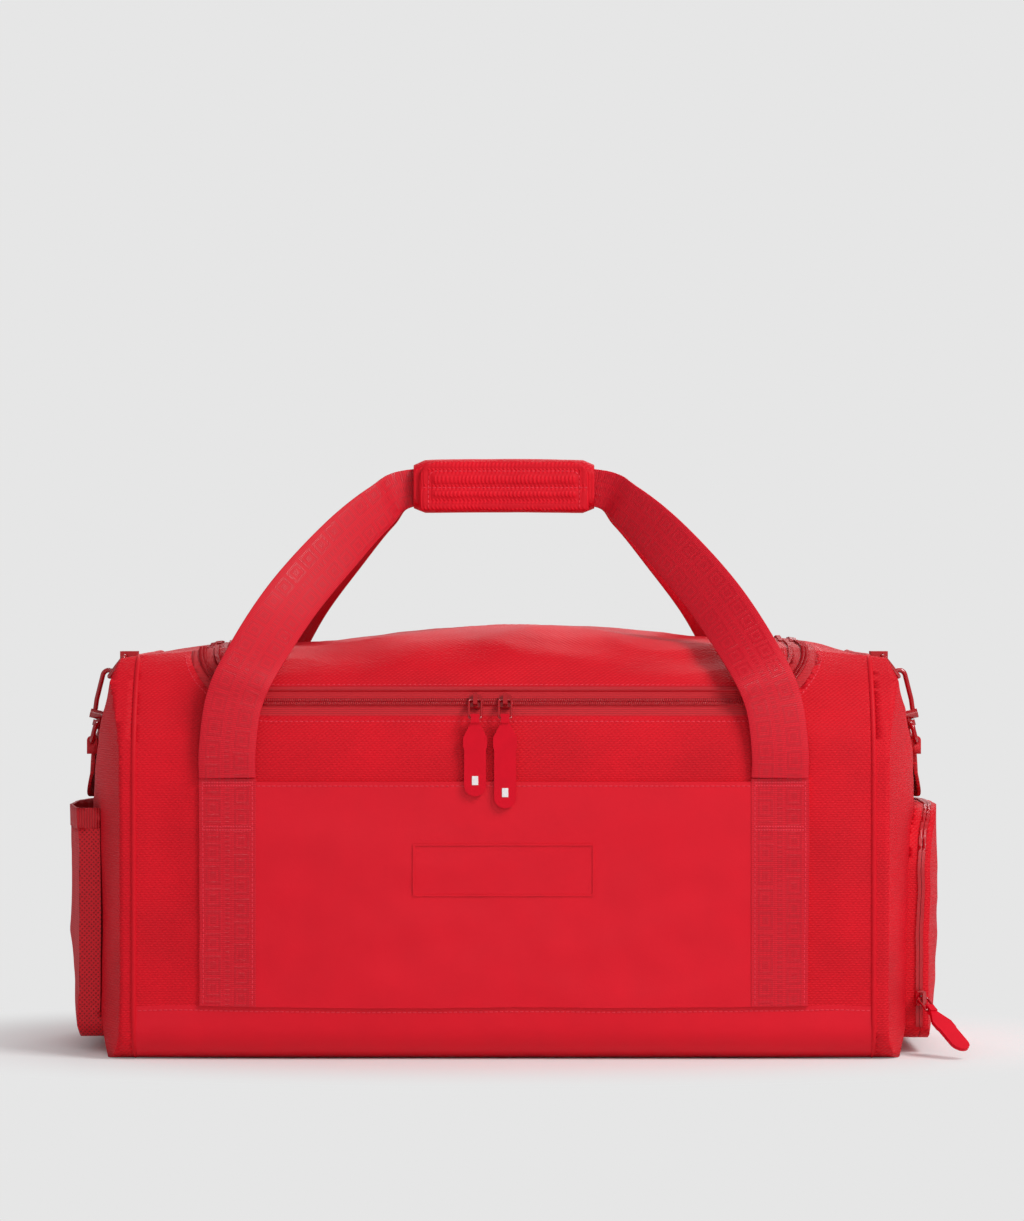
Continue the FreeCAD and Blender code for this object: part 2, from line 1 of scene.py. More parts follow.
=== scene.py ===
"""Sports holdall: the finished look of every piece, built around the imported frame."""
import sys
import json
import logging
import math
from dataclasses import dataclass, field
from enum import Enum
from typing import Callable, Optional, Sequence

import bmesh
import bpy
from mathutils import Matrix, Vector, noise
from mathutils.bvhtree import BVHTree


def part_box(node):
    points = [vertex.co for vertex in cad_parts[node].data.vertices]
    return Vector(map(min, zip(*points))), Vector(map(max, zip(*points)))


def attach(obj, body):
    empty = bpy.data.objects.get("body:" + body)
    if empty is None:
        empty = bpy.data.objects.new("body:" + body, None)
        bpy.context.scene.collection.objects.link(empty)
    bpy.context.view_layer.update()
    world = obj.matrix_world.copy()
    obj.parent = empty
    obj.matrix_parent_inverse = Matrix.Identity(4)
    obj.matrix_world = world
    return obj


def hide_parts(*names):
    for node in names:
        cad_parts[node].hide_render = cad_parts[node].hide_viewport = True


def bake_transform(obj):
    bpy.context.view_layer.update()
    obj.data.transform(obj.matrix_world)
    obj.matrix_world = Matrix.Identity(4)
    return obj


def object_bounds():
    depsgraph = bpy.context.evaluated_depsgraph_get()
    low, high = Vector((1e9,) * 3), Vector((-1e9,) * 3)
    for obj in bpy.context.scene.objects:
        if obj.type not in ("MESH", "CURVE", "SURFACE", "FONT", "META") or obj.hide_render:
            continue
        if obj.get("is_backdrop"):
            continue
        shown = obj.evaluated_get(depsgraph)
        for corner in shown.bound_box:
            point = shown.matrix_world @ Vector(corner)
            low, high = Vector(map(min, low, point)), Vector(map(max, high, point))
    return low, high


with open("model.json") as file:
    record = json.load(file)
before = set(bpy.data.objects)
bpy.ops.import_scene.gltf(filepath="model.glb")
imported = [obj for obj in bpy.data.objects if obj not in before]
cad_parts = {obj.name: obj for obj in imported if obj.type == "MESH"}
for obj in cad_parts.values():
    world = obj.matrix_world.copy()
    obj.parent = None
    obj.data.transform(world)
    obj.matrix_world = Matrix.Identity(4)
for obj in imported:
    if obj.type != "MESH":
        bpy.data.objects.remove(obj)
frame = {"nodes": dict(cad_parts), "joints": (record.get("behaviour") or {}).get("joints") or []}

START_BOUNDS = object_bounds()
LOG = logging.getLogger("holdall")
Point = tuple[float, float]


class End(Enum):
    """Which end of the bag a piece is on."""

    LEFT = -1
    RIGHT = 1


class Face(Enum):
    """Which long side of the bag a piece is on."""

    FRONT = 1
    BACK = -1


# ---- small tools ------------------------------------------------------------------------
def linear(code: str) -> tuple[float, float, float, float]:
    """Turn an sRGB hex colour to linear.

    Args:
        code: colour such as "#c01020".

    Returns:
        Linear red, green, blue and an alpha of one.
    """
    parts = [int(code[i:i + 2], 16) / 255 for i in (1, 3, 5)]
    r, g, b = (c / 12.92 if c <= 0.04045 else ((c + 0.055) / 1.055) ** 2.4 for c in parts)
    return (r, g, b, 1.0)


def clear_selection() -> None:
    """Leave edit mode and deselect everything."""
    if bpy.context.object and bpy.context.object.mode != "OBJECT":
        bpy.ops.object.mode_set(mode="OBJECT")
    bpy.ops.object.select_all(action="DESELECT")


def activate(obj: bpy.types.Object) -> None:
    """Make one object the only selected one."""
    clear_selection()
    obj.select_set(True)
    bpy.context.view_layer.objects.active = obj


def modify(obj: bpy.types.Object, kind: str, **settings: object) -> None:
    """Add a modifier with its settings and apply it.

    Args:
        obj: piece to change.
        kind: modifier type.
        **settings: modifier attributes.
    """
    activate(obj)
    modifier = obj.modifiers.new(kind.lower(), kind)
    for key, value in settings.items():
        setattr(modifier, key, value)
    bpy.ops.object.modifier_apply(modifier=modifier.name)


def face_outward(obj: bpy.types.Object) -> None:
    """Merge doubles and point a closed piece's faces outward."""
    activate(obj)
    bpy.ops.object.mode_set(mode="EDIT")
    bpy.ops.mesh.select_all(action="SELECT")
    bpy.ops.mesh.remove_doubles(threshold=0.00002)
    bpy.ops.mesh.normals_make_consistent(inside=False)
    bpy.ops.object.mode_set(mode="OBJECT")


def smooth(obj: bpy.types.Object, degrees: float = 40.0) -> None:
    """Shade smooth except across sharp edges."""
    activate(obj)
    bpy.ops.object.shade_smooth_by_angle(angle=math.radians(degrees))


def grid_piece(name: str, cols: int, rows: int, place: Callable[[float, float], Vector],
               pattern: Callable[[float, float], Point]) -> bpy.types.Object:
    """Add a grid and lay it on a surface.

    Args:
        name: piece name.
        cols: faces along the first direction.
        rows: faces along the second direction.
        place: turns a share of each direction, 0 to 1, into a point.
        pattern: turns the same shares into cloth coordinates in metres.

    Returns:
        The new piece, with its place in its mesh and a UV map in metres.
    """
    clear_selection()
    bpy.ops.mesh.primitive_grid_add(x_subdivisions=cols, y_subdivisions=rows, size=1.0)
    obj = bpy.context.object
    obj.name = name
    mesh = obj.data
    shares = [(v.co.x + 0.5, v.co.y + 0.5) for v in mesh.vertices]
    layer = mesh.uv_layers.active or mesh.uv_layers.new()
    for loop in mesh.loops:
        layer.data[loop.index].uv = pattern(*shares[loop.vertex_index])
    for vertex, share in zip(mesh.vertices, shares):
        vertex.co = place(*share)
    mesh.update()
    return obj


def finish_piece(obj: bpy.types.Object, body: str, slot: str, finish: "Finish",
                 *nodes: str) -> bpy.types.Object:
    """Dress a piece, ride it on its body and let it stand for its CAD nodes.

    Args:
        obj: finished piece.
        body: CAD body that it moves with; a lid piece is not attached to a body, and only has its place
            baked into its mesh.
        slot: material slot's name; not used.
        finish: surface.
        *nodes: CAD nodes that it replaces.

    Returns:
        The same piece.
    """
    obj.data.materials.clear()
    obj.data.materials.append(finish.material())
    if body == "lid":
        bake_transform(obj)
    else:
        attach(obj, body)
    if nodes:
        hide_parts(*nodes)
    LOG.info("made %s on %s", obj.name, body)
    return obj


# ---- finishes ---------------------------------------------------------------------------
def add(tree: bpy.types.NodeTree, kind: str, inputs: Optional[dict] = None,
        **settings: object) -> bpy.types.Node:
    """Add a node with its settings, values and links.

    Args:
        tree: material's node tree.
        kind: node type.
        inputs: socket name or number to a value or an output socket.
        **settings: node attributes.

    Returns:
        The new node.
    """
    node = tree.nodes.new(kind)
    for key, value in settings.items():
        setattr(node, key, value)
    for key, value in (inputs or {}).items():
        if isinstance(value, bpy.types.NodeSocket):
            tree.links.new(value, node.inputs[key])
        else:
            node.inputs[key].default_value = value
    return node


@dataclass(frozen=True)
class Finish:
    """A surface: its name, colour and gloss. Subclasses add the pattern."""

    name: str
    colour: str
    roughness: float = 0.6
    sheen: float = 0.0
    coat: float = 0.0
    specular: float = 0.5

    def material(self) -> bpy.types.Material:
        """Return the material, made once."""
        found = bpy.data.materials.get(self.name)
        if found:
            return found
        made = bpy.data.materials.new(self.name)
        made.use_nodes = True
        tree = made.node_tree
        shader = tree.nodes["Principled BSDF"]
        shader.inputs["Base Color"].default_value = linear(self.colour)
        shader.inputs["Roughness"].default_value = self.roughness
        shader.inputs["Specular IOR Level"].default_value = self.specular
        shader.inputs["Sheen Weight"].default_value = self.sheen
        shader.inputs["Sheen Roughness"].default_value = 0.5
        shader.inputs["Sheen Tint"].default_value = linear("#ff6070")
        shader.inputs["Coat Weight"].default_value = self.coat
        self.pattern(tree, shader)
        return made

    def pattern(self, tree: bpy.types.NodeTree, shader: bpy.types.Node) -> None:
        """Add the surface's own detail; plain surfaces get a faint handling haze."""
        coords = add(tree, "ShaderNodeTexCoord")
        haze = add(tree, "ShaderNodeTexNoise", {"Vector": coords.outputs["Object"], "Scale": 90.0,
                                                "Detail": 3.0})
        self.vary(tree, shader, haze.outputs["Fac"], 0.06)
        bump = add(tree, "ShaderNodeBump", {"Height": haze.outputs["Fac"], "Strength": 0.05,
                                            "Distance": 0.0002})
        tree.links.new(bump.outputs["Normal"], shader.inputs["Normal"])

    def vary(self, tree: bpy.types.NodeTree, shader: bpy.types.Node,
             mask: bpy.types.NodeSocket, amount: float) -> None:
        """Darken the colour where a mask is low, by up to amount."""
        r, g, b, _ = linear(self.colour)
        dark = tuple(c * (1 - amount * 2) for c in (r, g, b)) + (1.0,)
        light = tuple(min(1.0, c * (1 + amount)) for c in (r, g, b)) + (1.0,)
        mix = add(tree, "ShaderNodeMix", {0: mask, 6: dark, 7: light}, data_type="RGBA")
        tree.links.new(mix.outputs[2], shader.inputs["Base Color"])


def millimetres(tree: bpy.types.NodeTree, turn: float = 0.0) -> bpy.types.NodeSocket:
    """Return cloth coordinates in millimetres.

    Args:
        tree: material's node tree.
        turn: turn of the coordinates in degrees.

    Returns:
        The mapped coordinates' socket.
    """
    coords = add(tree, "ShaderNodeTexCoord")
    mapping = add(tree, "ShaderNodeMapping", {"Vector": coords.outputs["UV"],
                                              "Rotation": (0, 0, math.radians(turn)),
                                              "Scale": (1000, 1000, 1000)})
    return mapping.outputs["Vector"]


def ribs(tree: bpy.types.NodeTree, where: bpy.types.NodeSocket, pitch: float,
         direction: str = "X", wobble: float = 0.0) -> bpy.types.NodeSocket:
    """Return ribs of a pitch in millimetres, 0 in the groove to 1 on the rib."""
    wave = add(tree, "ShaderNodeTexWave", {"Vector": where, "Scale": 2 * math.pi / (20 * pitch),
                                           "Distortion": wobble, "Detail": 1.0,
                                           "Detail Scale": 0.5},
               wave_type="BANDS", bands_direction=direction, wave_profile="SIN")
    return wave.outputs["Fac"]


@dataclass(frozen=True)
class Twill(Finish):
    """Polyester twill: slanted ribs about a millimetre apart, with uneven yarn."""

    pitch: float = 2.1
    slant: float = 52.0

    def pattern(self, tree: bpy.types.NodeTree, shader: bpy.types.Node) -> None:
        """Slanted ribs broken up by yarn unevenness, and broad soft shading."""
        rib = ribs(tree, millimetres(tree, self.slant), self.pitch, wobble=0.6)
        weft = ribs(tree, millimetres(tree, 0), self.pitch * 0.75, "Y", 0.4)
        cloth = add(tree, "ShaderNodeMath", {0: rib, 1: weft}, operation="MULTIPLY")
        yarn = add(tree, "ShaderNodeTexNoise", {"Vector": millimetres(tree), "Scale": 0.6,
                                                "Detail": 4.0})
        broad = add(tree, "ShaderNodeTexNoise", {"Vector": millimetres(tree), "Scale": 0.018,
                                                 "Detail": 2.0})
        blend = add(tree, "ShaderNodeMath", {0: cloth.outputs[0], 1: yarn.outputs["Fac"]},
                    operation="MULTIPLY")
        total = add(tree, "ShaderNodeMath", {0: blend.outputs[0], 1: broad.outputs["Fac"]},
                    operation="ADD")
        self.vary(tree, shader, total.outputs[0], 0.15)
        bump = add(tree, "ShaderNodeBump", {"Height": cloth.outputs[0], "Strength": 0.8,
                                            "Distance": 0.0004})
        tree.links.new(bump.outputs["Normal"], shader.inputs["Normal"])


@dataclass(frozen=True)
class Coated(Finish):
    """Polyurethane-coated cloth: very fine pebble grain with a soft satin gloss."""

    grain: float = 0.9

    def pattern(self, tree: bpy.types.NodeTree, shader: bpy.types.Node) -> None:
        """Pebbles under a millimetre, over faint slow waves of the backing."""
        where = millimetres(tree)
        cells = add(tree, "ShaderNodeTexVoronoi", {"Vector": where, "Scale": 1 / self.grain})
        slow = add(tree, "ShaderNodeTexNoise", {"Vector": where, "Scale": 0.03, "Detail": 2.0})
        self.vary(tree, shader, slow.outputs["Fac"], 0.05)
        fine = add(tree, "ShaderNodeBump", {"Height": cells.outputs["Distance"], "Strength": 0.16,
                                            "Distance": 0.0002})
        tree.links.new(fine.outputs["Normal"], shader.inputs["Normal"])
        rough = add(tree, "ShaderNodeMapRange", {"Value": slow.outputs["Fac"], "To Min":
                                                 self.roughness - 0.06, "To Max": self.roughness + 0.06})
        tree.links.new(rough.outputs["Result"], shader.inputs["Roughness"])


@dataclass(frozen=True)
class Webbing(Finish):
    """Woven nylon webbing: cross ribs, edge cords and a raised tonal block pattern."""

    motif: bool = True

    def pattern(self, tree: bpy.types.NodeTree, shader: bpy.types.Node) -> None:
        """Ribs across the width; two rows of outlined blocks and a row of dashes."""
        where = millimetres(tree)
        rib = ribs(tree, where, 1.3, "Y", 0.2)
        ply = ribs(tree, where, 0.9, "X", 0.3)
        weave = add(tree, "ShaderNodeMath", {0: rib, 1: ply}, operation="MULTIPLY")
        shade, height = weave.outputs[0], weave.outputs[0]
        if self.motif:
            print_mask = self.blocks(tree, where)
            inked = add(tree, "ShaderNodeMath", {0: print_mask, 1: 0.85}, operation="MULTIPLY")
            rest = add(tree, "ShaderNodeMath", {0: 1.0, 1: inked.outputs[0]}, operation="SUBTRACT")
            shaded = add(tree, "ShaderNodeMath", {0: rest.outputs[0], 1: shade}, operation="MULTIPLY")
            lift = add(tree, "ShaderNodeMath", {0: print_mask, 1: 1.6, 2: shade},
                       operation="MULTIPLY_ADD")
            shade, height = shaded.outputs[0], lift.outputs[0]
            gloss = add(tree, "ShaderNodeMapRange", {"Value": print_mask, "To Min": self.roughness,
                                                     "To Max": 0.3})
            tree.links.new(gloss.outputs["Result"], shader.inputs["Roughness"])
        self.vary(tree, shader, shade, 0.14)
        bump = add(tree, "ShaderNodeBump", {"Height": height, "Strength": 0.45, "Distance": 0.0004})
        tree.links.new(bump.outputs["Normal"], shader.inputs["Normal"])

    def blocks(self, tree: bpy.types.NodeTree, where: bpy.types.NodeSocket) -> bpy.types.NodeSocket:
        """Outlined blocks in two rows, stepped along the length, with dashes between."""
        split = add(tree, "ShaderNodeSeparateXYZ", {0: where})
        across, along = split.outputs["X"], split.outputs["Y"]

        def calc(kind: str, a: object, b: object = 0.0, c: object = 0.0) -> bpy.types.NodeSocket:
            return add(tree, "ShaderNodeMath", {0: a, 1: b, 2: c}, operation=kind).outputs[0]

        side = calc("ABSOLUTE", across)
        shift = calc("MULTIPLY", calc("SIGN", across), 3.5)
        step = calc("PINGPONG", calc("ADD", along, shift), 7.5)
        square = calc("MAXIMUM", calc("ABSOLUTE", calc("SUBTRACT", side, 9.5)),
                      calc("MULTIPLY", step, 0.85))
        ring = calc("COMPARE", square, 4.4, 0.8)
        core = calc("LESS_THAN", square, 1.9)
        dash = calc("MULTIPLY", calc("LESS_THAN", side, 1.5),
                    calc("GREATER_THAN", calc("PINGPONG", along, 1.6), 0.7))
        return calc("MINIMUM", calc("ADD", calc("ADD", ring, core), dash), 1.0)


@dataclass(frozen=True)
class Knit(Finish):
    """Open knitted mesh: staggered small holes that read as dark dots."""

    pitch: float = 2.2

    def pattern(self, tree: bpy.types.NodeTree, shader: bpy.types.Node) -> None:
        """Round holes in a regular net, darker inside."""
        cells = add(tree, "ShaderNodeTexVoronoi", {"Vector": millimetres(tree, 45),
                                                   "Scale": 1 / self.pitch, "Randomness": 0.12})
        hole = add(tree, "ShaderNodeMapRange", {"Value": cells.outputs["Distance"], "From Min": 0.12,
                                                "From Max": 0.34})
        self.vary(tree, shader, hole.outputs["Result"], 0.3)
        bump = add(tree, "ShaderNodeBump", {"Height": hole.outputs["Result"], "Strength": 0.7,
                                            "Distance": 0.0004})
        tree.links.new(bump.outputs["Normal"], shader.inputs["Normal"])


@dataclass(frozen=True)
class Ribbed(Finish):
    """Ribbed cloth, such as elastic or zip tape: fine ribs one way."""

    pitch: float = 2.0
    way: str = "X"

    def pattern(self, tree: bpy.types.NodeTree, shader: bpy.types.Node) -> None:
        """Straight ribs with a slight waver."""
        rib = ribs(tree, millimetres(tree), self.pitch, self.way, 0.3)
        self.vary(tree, shader, rib, 0.12)
        bump = add(tree, "ShaderNodeBump", {"Height": rib, "Strength": 0.6, "Distance": 0.0005})
        tree.links.new(bump.outputs["Normal"], shader.inputs["Normal"])


# The bag is one red throughout, so the surfaces differ in weave and gloss, not in hue.
# Cloth: polyester twill on the shell, a heavier one on the grip, coated cloth, webbing, tape.
SHELL = Twill("polyester_twill", "#cf0019", roughness=0.62, sheen=0.06, specular=0.22)
GRIP_CLOTH = Twill("grip_twill", "#d2001b", roughness=0.6, sheen=0.06, specular=0.22, pitch=1.7)
COATED = Coated("polyurethane_coated_cloth", "#d60420", roughness=0.52, sheen=0.0, specular=0.25)
WEBBING = Webbing("nylon_webbing_blocks", "#dd0624", roughness=0.55, sheen=0.04, specular=0.3)
PLAIN_WEBBING = Webbing("nylon_webbing_plain", "#c80018", roughness=0.6, motif=False)
TAPE = Ribbed("knitted_zip_tape", "#c00016", roughness=0.65, pitch=1.4, way="Y")
# Hard pieces: nylon coil, baked enamel on zinc hardware, soft PVC pulls.
COIL = Finish("polyester_zip_coil", "#b00014", roughness=0.38)
ENAMEL = Finish("red_baked_enamel", "#a60010", roughness=0.2, coat=0.6)
RUBBER = Finish("moulded_soft_pvc", "#d20220", roughness=0.62, specular=0.15)
# Trim, pockets, thread and the pieces that hardly show.
BINDING = Ribbed("folded_binding", "#bd0016", roughness=0.6, pitch=1.2, way="Y")
KNIT = Knit("knitted_pocket_mesh", "#bb0018", roughness=0.7)
ELASTIC = Ribbed("ribbed_elastic", "#c40018", roughness=0.62, pitch=1.8, way="X")
THREAD = Finish("polyester_thread", "#dd1430", roughness=0.5)
BOARD = Finish("polyethylene_board", "#303034", roughness=0.55)
BUCKLE = Finish("acetal_buckle", "#ac0014", roughness=0.3)
MARK = Finish("pale_moulded_mark", "#e8e4e4", roughness=0.5)


# ---- the bag's sizes, taken from the frame ----------------------------------------------
def lowest(node: str) -> Vector:
    """Return a node's lowest corner."""
    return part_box(node)[0]


def highest(node: str) -> Vector:
    """Return a node's highest corner."""
    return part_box(node)[1]


HALF_DEPTH = highest("back_panel").y
SHOULDER_R = 0.095      # long edges of the top
ZIP_FRONT_Z = 0.238     # zip line on its front run
ZIP_CORNER_R = 0.047
CORE_HALF_X = 0.17      # box-shaped core that the cloth faces away from
CORE_HALF_Y = 0.045
CORE_FOOT_Z = 0.10
TOP = highest("lid_panel").z
SEAM = highest("front_panel").x
FRONT = -HALF_DEPTH


def travelled(name: str, joint: str, way: float) -> tuple[Vector, Vector]:
    """Return a node's box, stretched over the whole travel of its slider.

    Args:
        name: CAD node.
        joint: name of the sliding joint that carries it.
        way: direction of travel along X, -1 or 1.

    Returns:
        Lowest and highest corners.
    """
    low, high = (corner.copy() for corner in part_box(name))
    reach = next(max(item["range_m"]) for item in frame["joints"] if item["name"] == joint)
    low.x += min(0.0, way * reach)
    high.x += max(0.0, way * reach)
    return low, high


HARDWARE = [travelled(f"{part}_{side}", f"slider_{side}_travel", way)
            for part in ("slider", "pull_tab") for side, way in (("left", -1.0), ("right", 1.0))]
HARDWARE += [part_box(name) for name in ("ring_tab_left", "ring_tab_right", "shoe_slider",
                                       "shoe_pull_tab")]


def smoothstep(low: float, high: float, value: float) -> float:
    """Ramp from 0 at low to 1 at high.

    Args:
        low: value that gives 0.
        high: value that gives 1.
        value: value to look up.

    Returns:
        A share from 0 to 1 with soft ends.
    """
    t = max(0.0, min(1.0, (value - low) / (high - low)))
    return t * t * (3 - 2 * t)


def ripple(point: Vector, size: float, seed: float = 0.0) -> float:
    """Smooth noise from -1 to 1 with features of a size in metres.

    Args:
        point: place in the row frame.
        size: size of the features in metres.
        seed: shift that makes one noise differ from another.

    Returns:
        The noise at the point.
    """
    return noise.noise(Vector((point.x / size + seed, point.y / size, point.z / size)))


def dress_defaults() -> None:
    """Give every CAD node its slot's finish, so that no piece is left plain."""
    by_slot = {
        "shell_twill": SHELL, "coated_leathercloth": COATED, "strap_webbing": PLAIN_WEBBING,
        "zip_tape_cloth": TAPE, "zip_coil_nylon": COIL, "zip_metal": ENAMEL,
        "pull_rubber": RUBBER, "hardware_enamel": ENAMEL, "buckle_plastic": BUCKLE,
        "stiffener_board": BOARD, "pocket_mesh": KNIT, "elastic_band": ELASTIC,
        "piping_cloth": BINDING,
    }
    for name, obj in frame["nodes"].items():
        for slot in obj.material_slots:
            base = slot.material.name.split(".")[0] if slot.material else ""
            match = next((f for key, f in by_slot.items() if key in base), SHELL)
            slot.material = match.material()
        LOG.info("dressed %s", name)


# ---- cloth ------------------------------------------------------------------------------
def outward(point: Vector) -> Vector:
    """Direction out of the bag at a point, from the box-shaped core inside it."""
    core = Vector((max(-CORE_HALF_X, min(CORE_HALF_X, point.x)),
                   max(-CORE_HALF_Y, min(CORE_HALF_Y, point.y)),
                   max(CORE_FOOT_Z, min(TOP - SHOULDER_R, point.z))))
    away = point - core
    return away.normalized() if away.length > 1e-6 else Vector((0, 0, 1))


def stillness(point: Vector) -> float:
    """Return 0 where hardware or a seam holds the cloth still, rising to 1 away from it."""
    share = 1.0
    for low, high in HARDWARE:
        gap = math.sqrt(sum(max(low[i] - point[i], 0, point[i] - high[i]) ** 2 for i in range(3)))
        share = min(share, smoothstep(0.004, 0.045, gap))
    share *= smoothstep(0.0, 0.05, point.z)
    share *= 0.25 + 0.75 * smoothstep(0.0, 0.03, abs(abs(point.x) - SEAM))
    return share


def slack(point: Vector) -> float:
    """How far the cloth stands out or sinks at a point, in metres: broad sag, then creases."""
    on_top = smoothstep(0.20, 0.275, point.z)
    broad = ripple(point, 0.17, 3.1) * (0.0045 + 0.0015 * on_top)
    sag = -0.0045 * on_top * smoothstep(0.0, 0.14, abs(point.x)) * (1 - smoothstep(0.17, 0.2, abs(point.x)))
    creased = Vector((point.x * 0.55 + point.z * 0.5, point.y, point.z * 1.7 - point.x * 0.4))
    folds = (0.5 - abs(ripple(creased, 0.055, 9.0))) * 0.0042
    fine = ripple(point, 0.02, 5.0) * 0.0006
    return (broad + sag + folds * (0.35 + 0.65 * on_top) + fine) * stillness(point)


def settle(obj: bpy.types.Object, share: float = 1.0) -> None:
    """Move a soft piece's points by the cloth's slack, so that neighbours move together.

    Args:
        obj: piece to move.
        share: share of the slack that it follows.
    """
    for vertex in obj.data.vertices:
        vertex.co += outward(vertex.co) * (slack(vertex.co) * share)
    obj.data.update()


def girth(point: Vector) -> float:
    """Distance up the front, over the shoulder and across the top, for cloth coordinates."""
    radius, side = SHOULDER_R, abs(point.y)
    foot = TOP - radius
    if point.z < foot:
        along = point.z
    elif side > HALF_DEPTH - radius:
        along = foot + radius * math.atan2(point.z - foot, max(1e-6, side - HALF_DEPTH + radius))
    else:
        along = foot + radius * math.pi / 2 + (HALF_DEPTH - radius - side)
    return along


class Lay(Enum):
    """How cloth coordinates run over a piece."""

    WRAPPED = 0
    END = 1
    FLAT = 2


def lay_cloth(obj: bpy.types.Object, lay: Lay, centre_x: float = 0.0) -> None:
    """Give a piece cloth coordinates in metres from where its points are."""
    mesh = obj.data
    layer = mesh.uv_layers.active or mesh.uv_layers.new(name="cloth")
    for polygon in mesh.polygons:
        facing_end = abs(polygon.normal.x) > 0.6
        for index in polygon.loop_indices:
            point = mesh.vertices[mesh.loops[index].vertex_index].co
            if lay is Lay.END and facing_end:
                layer.data[index].uv = (point.y, point.z)
            elif lay is Lay.FLAT:
                layer.data[index].uv = (point.x - centre_x, point.y)
            else:
                layer.data[index].uv = (point.x - centre_x, girth(point))


def sliced_copy(node: str, name: str, spacing: float, axes: str = "XYZ") -> bpy.types.Object:
    """Copy a node's mesh into a new object and slice it finely enough to drape.

    Args:
        node: CAD node to start from.
        name: new piece's name.
        spacing: distance between slices in metres.
        axes: directions to slice along.

    Returns:
        The new piece, unparented.
    """
    clear_selection()
    source = frame["nodes"][node]
    obj = bpy.data.objects.new(name, source.data.copy())
    bpy.context.scene.collection.objects.link(obj)
    cloth = bmesh.new()
    cloth.from_mesh(obj.data)
    bmesh.ops.remove_doubles(cloth, verts=cloth.verts, dist=0.00001)
    bmesh.ops.dissolve_limit(cloth, angle_limit=math.radians(0.6), verts=cloth.verts,
                             edges=cloth.edges)
    low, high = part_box(node)
    for axis in axes:
        which = "XYZ".index(axis)
        normal = Vector([1.0 if i == which else 0.0 for i in range(3)])
        count = int((high[which] - low[which]) / spacing)
        for step in range(1, count + 1):
            at = normal * (low[which] + (high[which] - low[which]) * step / (count + 1))
            geometry = list(cloth.verts) + list(cloth.edges) + list(cloth.faces)
            bmesh.ops.bisect_plane(cloth, geom=geometry, dist=0.00002, plane_co=at, plane_no=normal)
    bmesh.ops.triangulate(cloth, faces=[f for f in cloth.faces if len(f.verts) > 4])
    cloth.to_mesh(obj.data)
    cloth.free()
    return obj


@dataclass
class SoftPiece:
    """One sewn piece that drapes with the cloth around it."""

    node: str
    body: str
    slot: str
    finish: Finish
    lay: Lay = Lay.WRAPPED
    spacing: float = 0.0055
    centre_x: float = 0.0
    share: float = 1.0

    def build(self) -> bpy.types.Object:
        """Slice, drape, lay and dress the piece.

        Returns:
            The finished piece.
        """
        obj = sliced_copy(self.node, "soft_" + self.node, self.spacing)
        settle(obj, self.share)
        lay_cloth(obj, self.lay, self.centre_x)
        smooth(obj, 42)
        return finish_piece(obj, self.body, self.slot, self.finish, self.node)


@dataclass
class Shell:
    """The bag's body, lid, overlay, zip tapes and piping."""

    def build(self) -> None:
        """Make every sewn panel."""
        twill, coat, tape = "shell_twill", "coated_leathercloth", "zip_tape_cloth"
        for node, body, lay in (("front_panel", "root", Lay.WRAPPED),
                                ("back_panel", "root", Lay.WRAPPED),
                                ("end_panel_left", "root", Lay.END),
                                ("end_panel_right", "root", Lay.END),
                                ("lid_panel", "lid", Lay.WRAPPED)):
            SoftPiece(node, body, twill, SHELL, lay).build()
        SoftPiece("front_overlay", "root", coat, COATED).build()
        SoftPiece("base_panel", "root", coat, COATED, spacing=0.012).build()
        SoftPiece("badge_frame", "root", coat, COATED, spacing=0.02).build()
        SoftPiece("body_zip_tape", "root", tape, TAPE, spacing=0.0035).build()
        SoftPiece("lid_zip_tape", "lid", tape, TAPE, spacing=0.0035).build()
        SoftPiece("lid_piping", "lid", "piping_cloth", BINDING, spacing=0.0035).build()
        SoftPiece("body_zip_coil", "root", "zip_coil_nylon", COIL, spacing=0.0035).build()
        SoftPiece("lid_zip_coil", "lid", "zip_coil_nylon", COIL, spacing=0.0035).build()


# ---- webbing ----------------------------------------------------------------------------
Station = tuple[Vector, Vector, float]


def curve_through(stations: Sequence[Station], share: float) -> Station:
    """Return the station at a share of the way along a smooth curve through the stations."""
    spans = len(stations) - 1
    at = min(spans - 1e-6, max(0.0, share * spans))
    i, t = int(at), at - int(at)
    a, b, c, d = (stations[max(0, min(spans, i + k))] for k in (-1, 0, 1, 2))

    def mix(p: object, q: object, r: object, u: object) -> object:
        return (q * 2 + (r - p) * t + (p * 2 - q * 5 + r * 4 - u) * t * t
                + (q * 3 - p - r * 3 + u) * t ** 3) * 0.5

    return (mix(a[0], b[0], c[0], d[0]), mix(a[1], b[1], c[1], d[1]).normalized(),
            mix(a[2], b[2], c[2], d[2]))


def mirrored(half: Sequence[tuple]) -> list[tuple]:
    """Return stations mirrored in X, in the reverse order."""
    return [(Vector((-c.x, c.y, c.z)), (-w[0], w[1], w[2]), b) for c, w, b in reversed(half)]


def without_flips(run: Sequence[tuple]) -> list[Station]:
    """Normalise the width directions and turn round any that point against the one before."""
    clean = [(c, Vector(w).normalized(), b) for c, w, b in run]
    for i in range(1, len(clean)):
        if clean[i][1].dot(clean[i - 1][1]) < 0:
            clean[i] = (clean[i][0], -clean[i][1], clean[i][2])
    return clean


